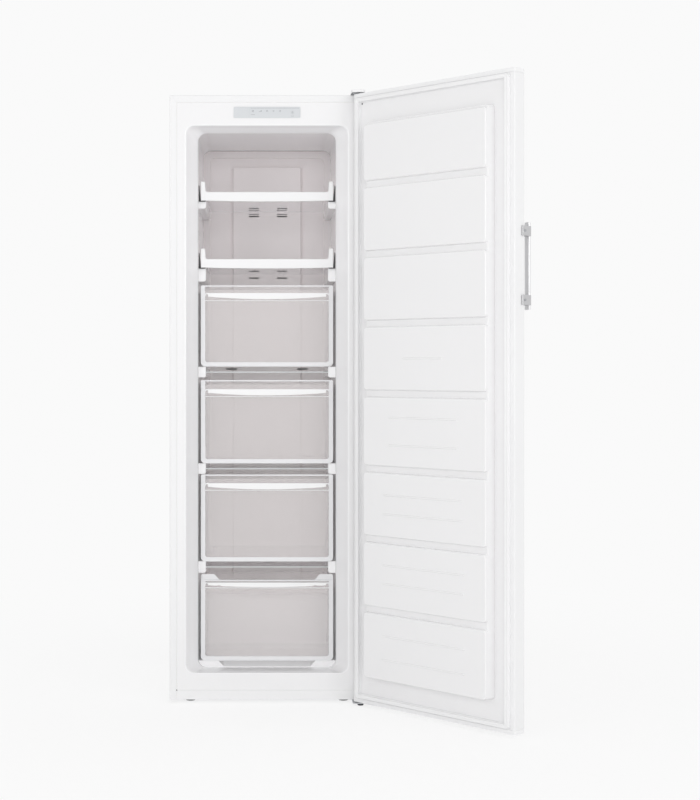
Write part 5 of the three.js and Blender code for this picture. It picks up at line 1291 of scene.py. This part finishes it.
for sx in (-1, 1):
    for sy in (-1, 1):
        centre = (pot_x + sx * FEET_X, pot_y + sy * FEET_Y)
        rubber = disc("rubber", (*centre, pot_low.z), 11, POT_FOOT_H + 1.5)
        round_edges(rubber, lambda middle, way: abs(way.z) < 0.1, 1.6, 3)
        nut = disc("nut", (*centre, pot_z + 5), 6, 4.5, sides=6)
        round_edges(nut, lambda middle, way: abs(way.z) < 0.1, 0.5, 2)
        parts += [rubber, nut]
seat(join_up("compressor_pot", parts), black_enamel, "compressor")
print("pot", pot_x, pot_y, "top", round(pot_top))

# %% Charging tube, pinched shut
TUBE_ANGLE, TUBE_L, TUBE_R, TUBE_Z = math.radians(250), 34, 3.2, 58
PINCH_FROM, PINCH_TO = TUBE_L - 12, TUBE_L - 9
tube = disc("charging_tube", (0, 0, 0), TUBE_R, TUBE_L, "X", 20)
for x in (PINCH_FROM, PINCH_TO):
    bisect(tube, (x, 0, 0), (1, 0, 0))
pick(tube, "FACE", lambda middle, way: middle.x > PINCH_TO)
bpy.ops.transform.resize(value=(1, 1.45, 0.3), center_override=(0, 0, 0))
bpy.ops.object.mode_set(mode="OBJECT")
tube.data.transform(Matrix.Translation((pot_x, pot_y, TUBE_Z)) @ Matrix.Rotation(TUBE_ANGLE, 4, "Z")
                    @ Matrix.Translation((POT_R - 1, 0, 0)))
seat(tube, copper_pipe, body="cabinet")
tell("charging tube", tube)

# %% [markdown]
# ## Edges of the smaller solids
# Every real edge is a little round, and a white object shows its shape by the thin lines of light on such
# edges. The smaller solids already have the right outline. A copy of each is merged, its flat faces are
# cleaned, and its edges get a small bevel. The copy stands for the solid, which stays hidden.

# %% Rounded copies of smaller solids


def rounded(name, material, width, segments=2, angle=32):
    source = nodes[name]
    obj = bpy.data.objects.new("soft_" + name, source.data.copy())
    scene.collection.objects.link(obj)
    only(obj)
    bpy.ops.object.mode_set(mode="EDIT")
    bpy.ops.mesh.select_all(action="SELECT")
    bpy.ops.mesh.remove_doubles(threshold=0.00001)
    bpy.ops.mesh.dissolve_limited(angle_limit=math.radians(1))
    bpy.ops.object.mode_set(mode="OBJECT")
    soften(obj, width * MM, segments, angle)
    obj.data.materials.clear()
    return seat(obj, material, name, Matrix.Identity(4))


ROUNDED = {
    "back_panel": (white_paint, 0.4), "front_crossbar": (white_paint, 0.35),
    "door_top_cap": (satin_white, 1.2), "door_bottom_cap": (satin_white, 1.2),
    "top_hinge_cover": (satin_white, 1.5),
    "control_panel": (panel_grey, 0.4), "control_button": (panel_grey, 0.4),
    "handle_bracket_upper": (bracket_metal, 0.8), "handle_bracket_lower": (bracket_metal, 0.8),
    "top_hinge_bracket": (zinc, 0.4), "bottom_hinge_bracket": (zinc, 0.4), "top_hinge_pin": (zinc, 0.4),
    "door_stop_plate": (zinc, 0.3), "bottom_hinge_pin": (black_plastic, 0.5),
    "front_foot_left": (black_plastic, 0.5), "front_foot_right": (black_plastic, 0.5),
    "rear_foot_left": (black_plastic, 0.8), "rear_foot_right": (black_plastic, 0.8),
    "relay_box": (black_plastic, 1.5), "terminal_box": (black_plastic, 1.5),
    "evaporating_dish": (black_plastic, 0.8),
}
for name, (material, width) in ROUNDED.items():
    rounded(name, material, width)
print(len(ROUNDED), "solids rounded")

# %% [markdown]
# ## The solids that stay
# Pieces deep inside keep their solids and only get a finish.

# %% Finishes on the solids that stay
STAYING = {
    "base_pan": zinc, "compressor_bay_panel": zinc, "insulation": foam, "door_foam": foam,
    "evaporator": fin_metal, "evaporator_bracket": zinc, "defrost_heater": zinc, "drain_gutter": satin_white,
    "fan_motor": black_plastic, "evaporator_fan": satin_white,
    "filter_drier": copper_pipe, "discharge_pipe": copper_pipe, "suction_pipe": copper_pipe,
    "control_board": board_green, "top_hinge_bush": black_plastic, "bottom_hinge_bush": black_plastic,
}
for name, material in STAYING.items():
    nodes[name].data.materials.clear()
    nodes[name].data.materials.append(material)
print(len(STAYING), "solids kept")
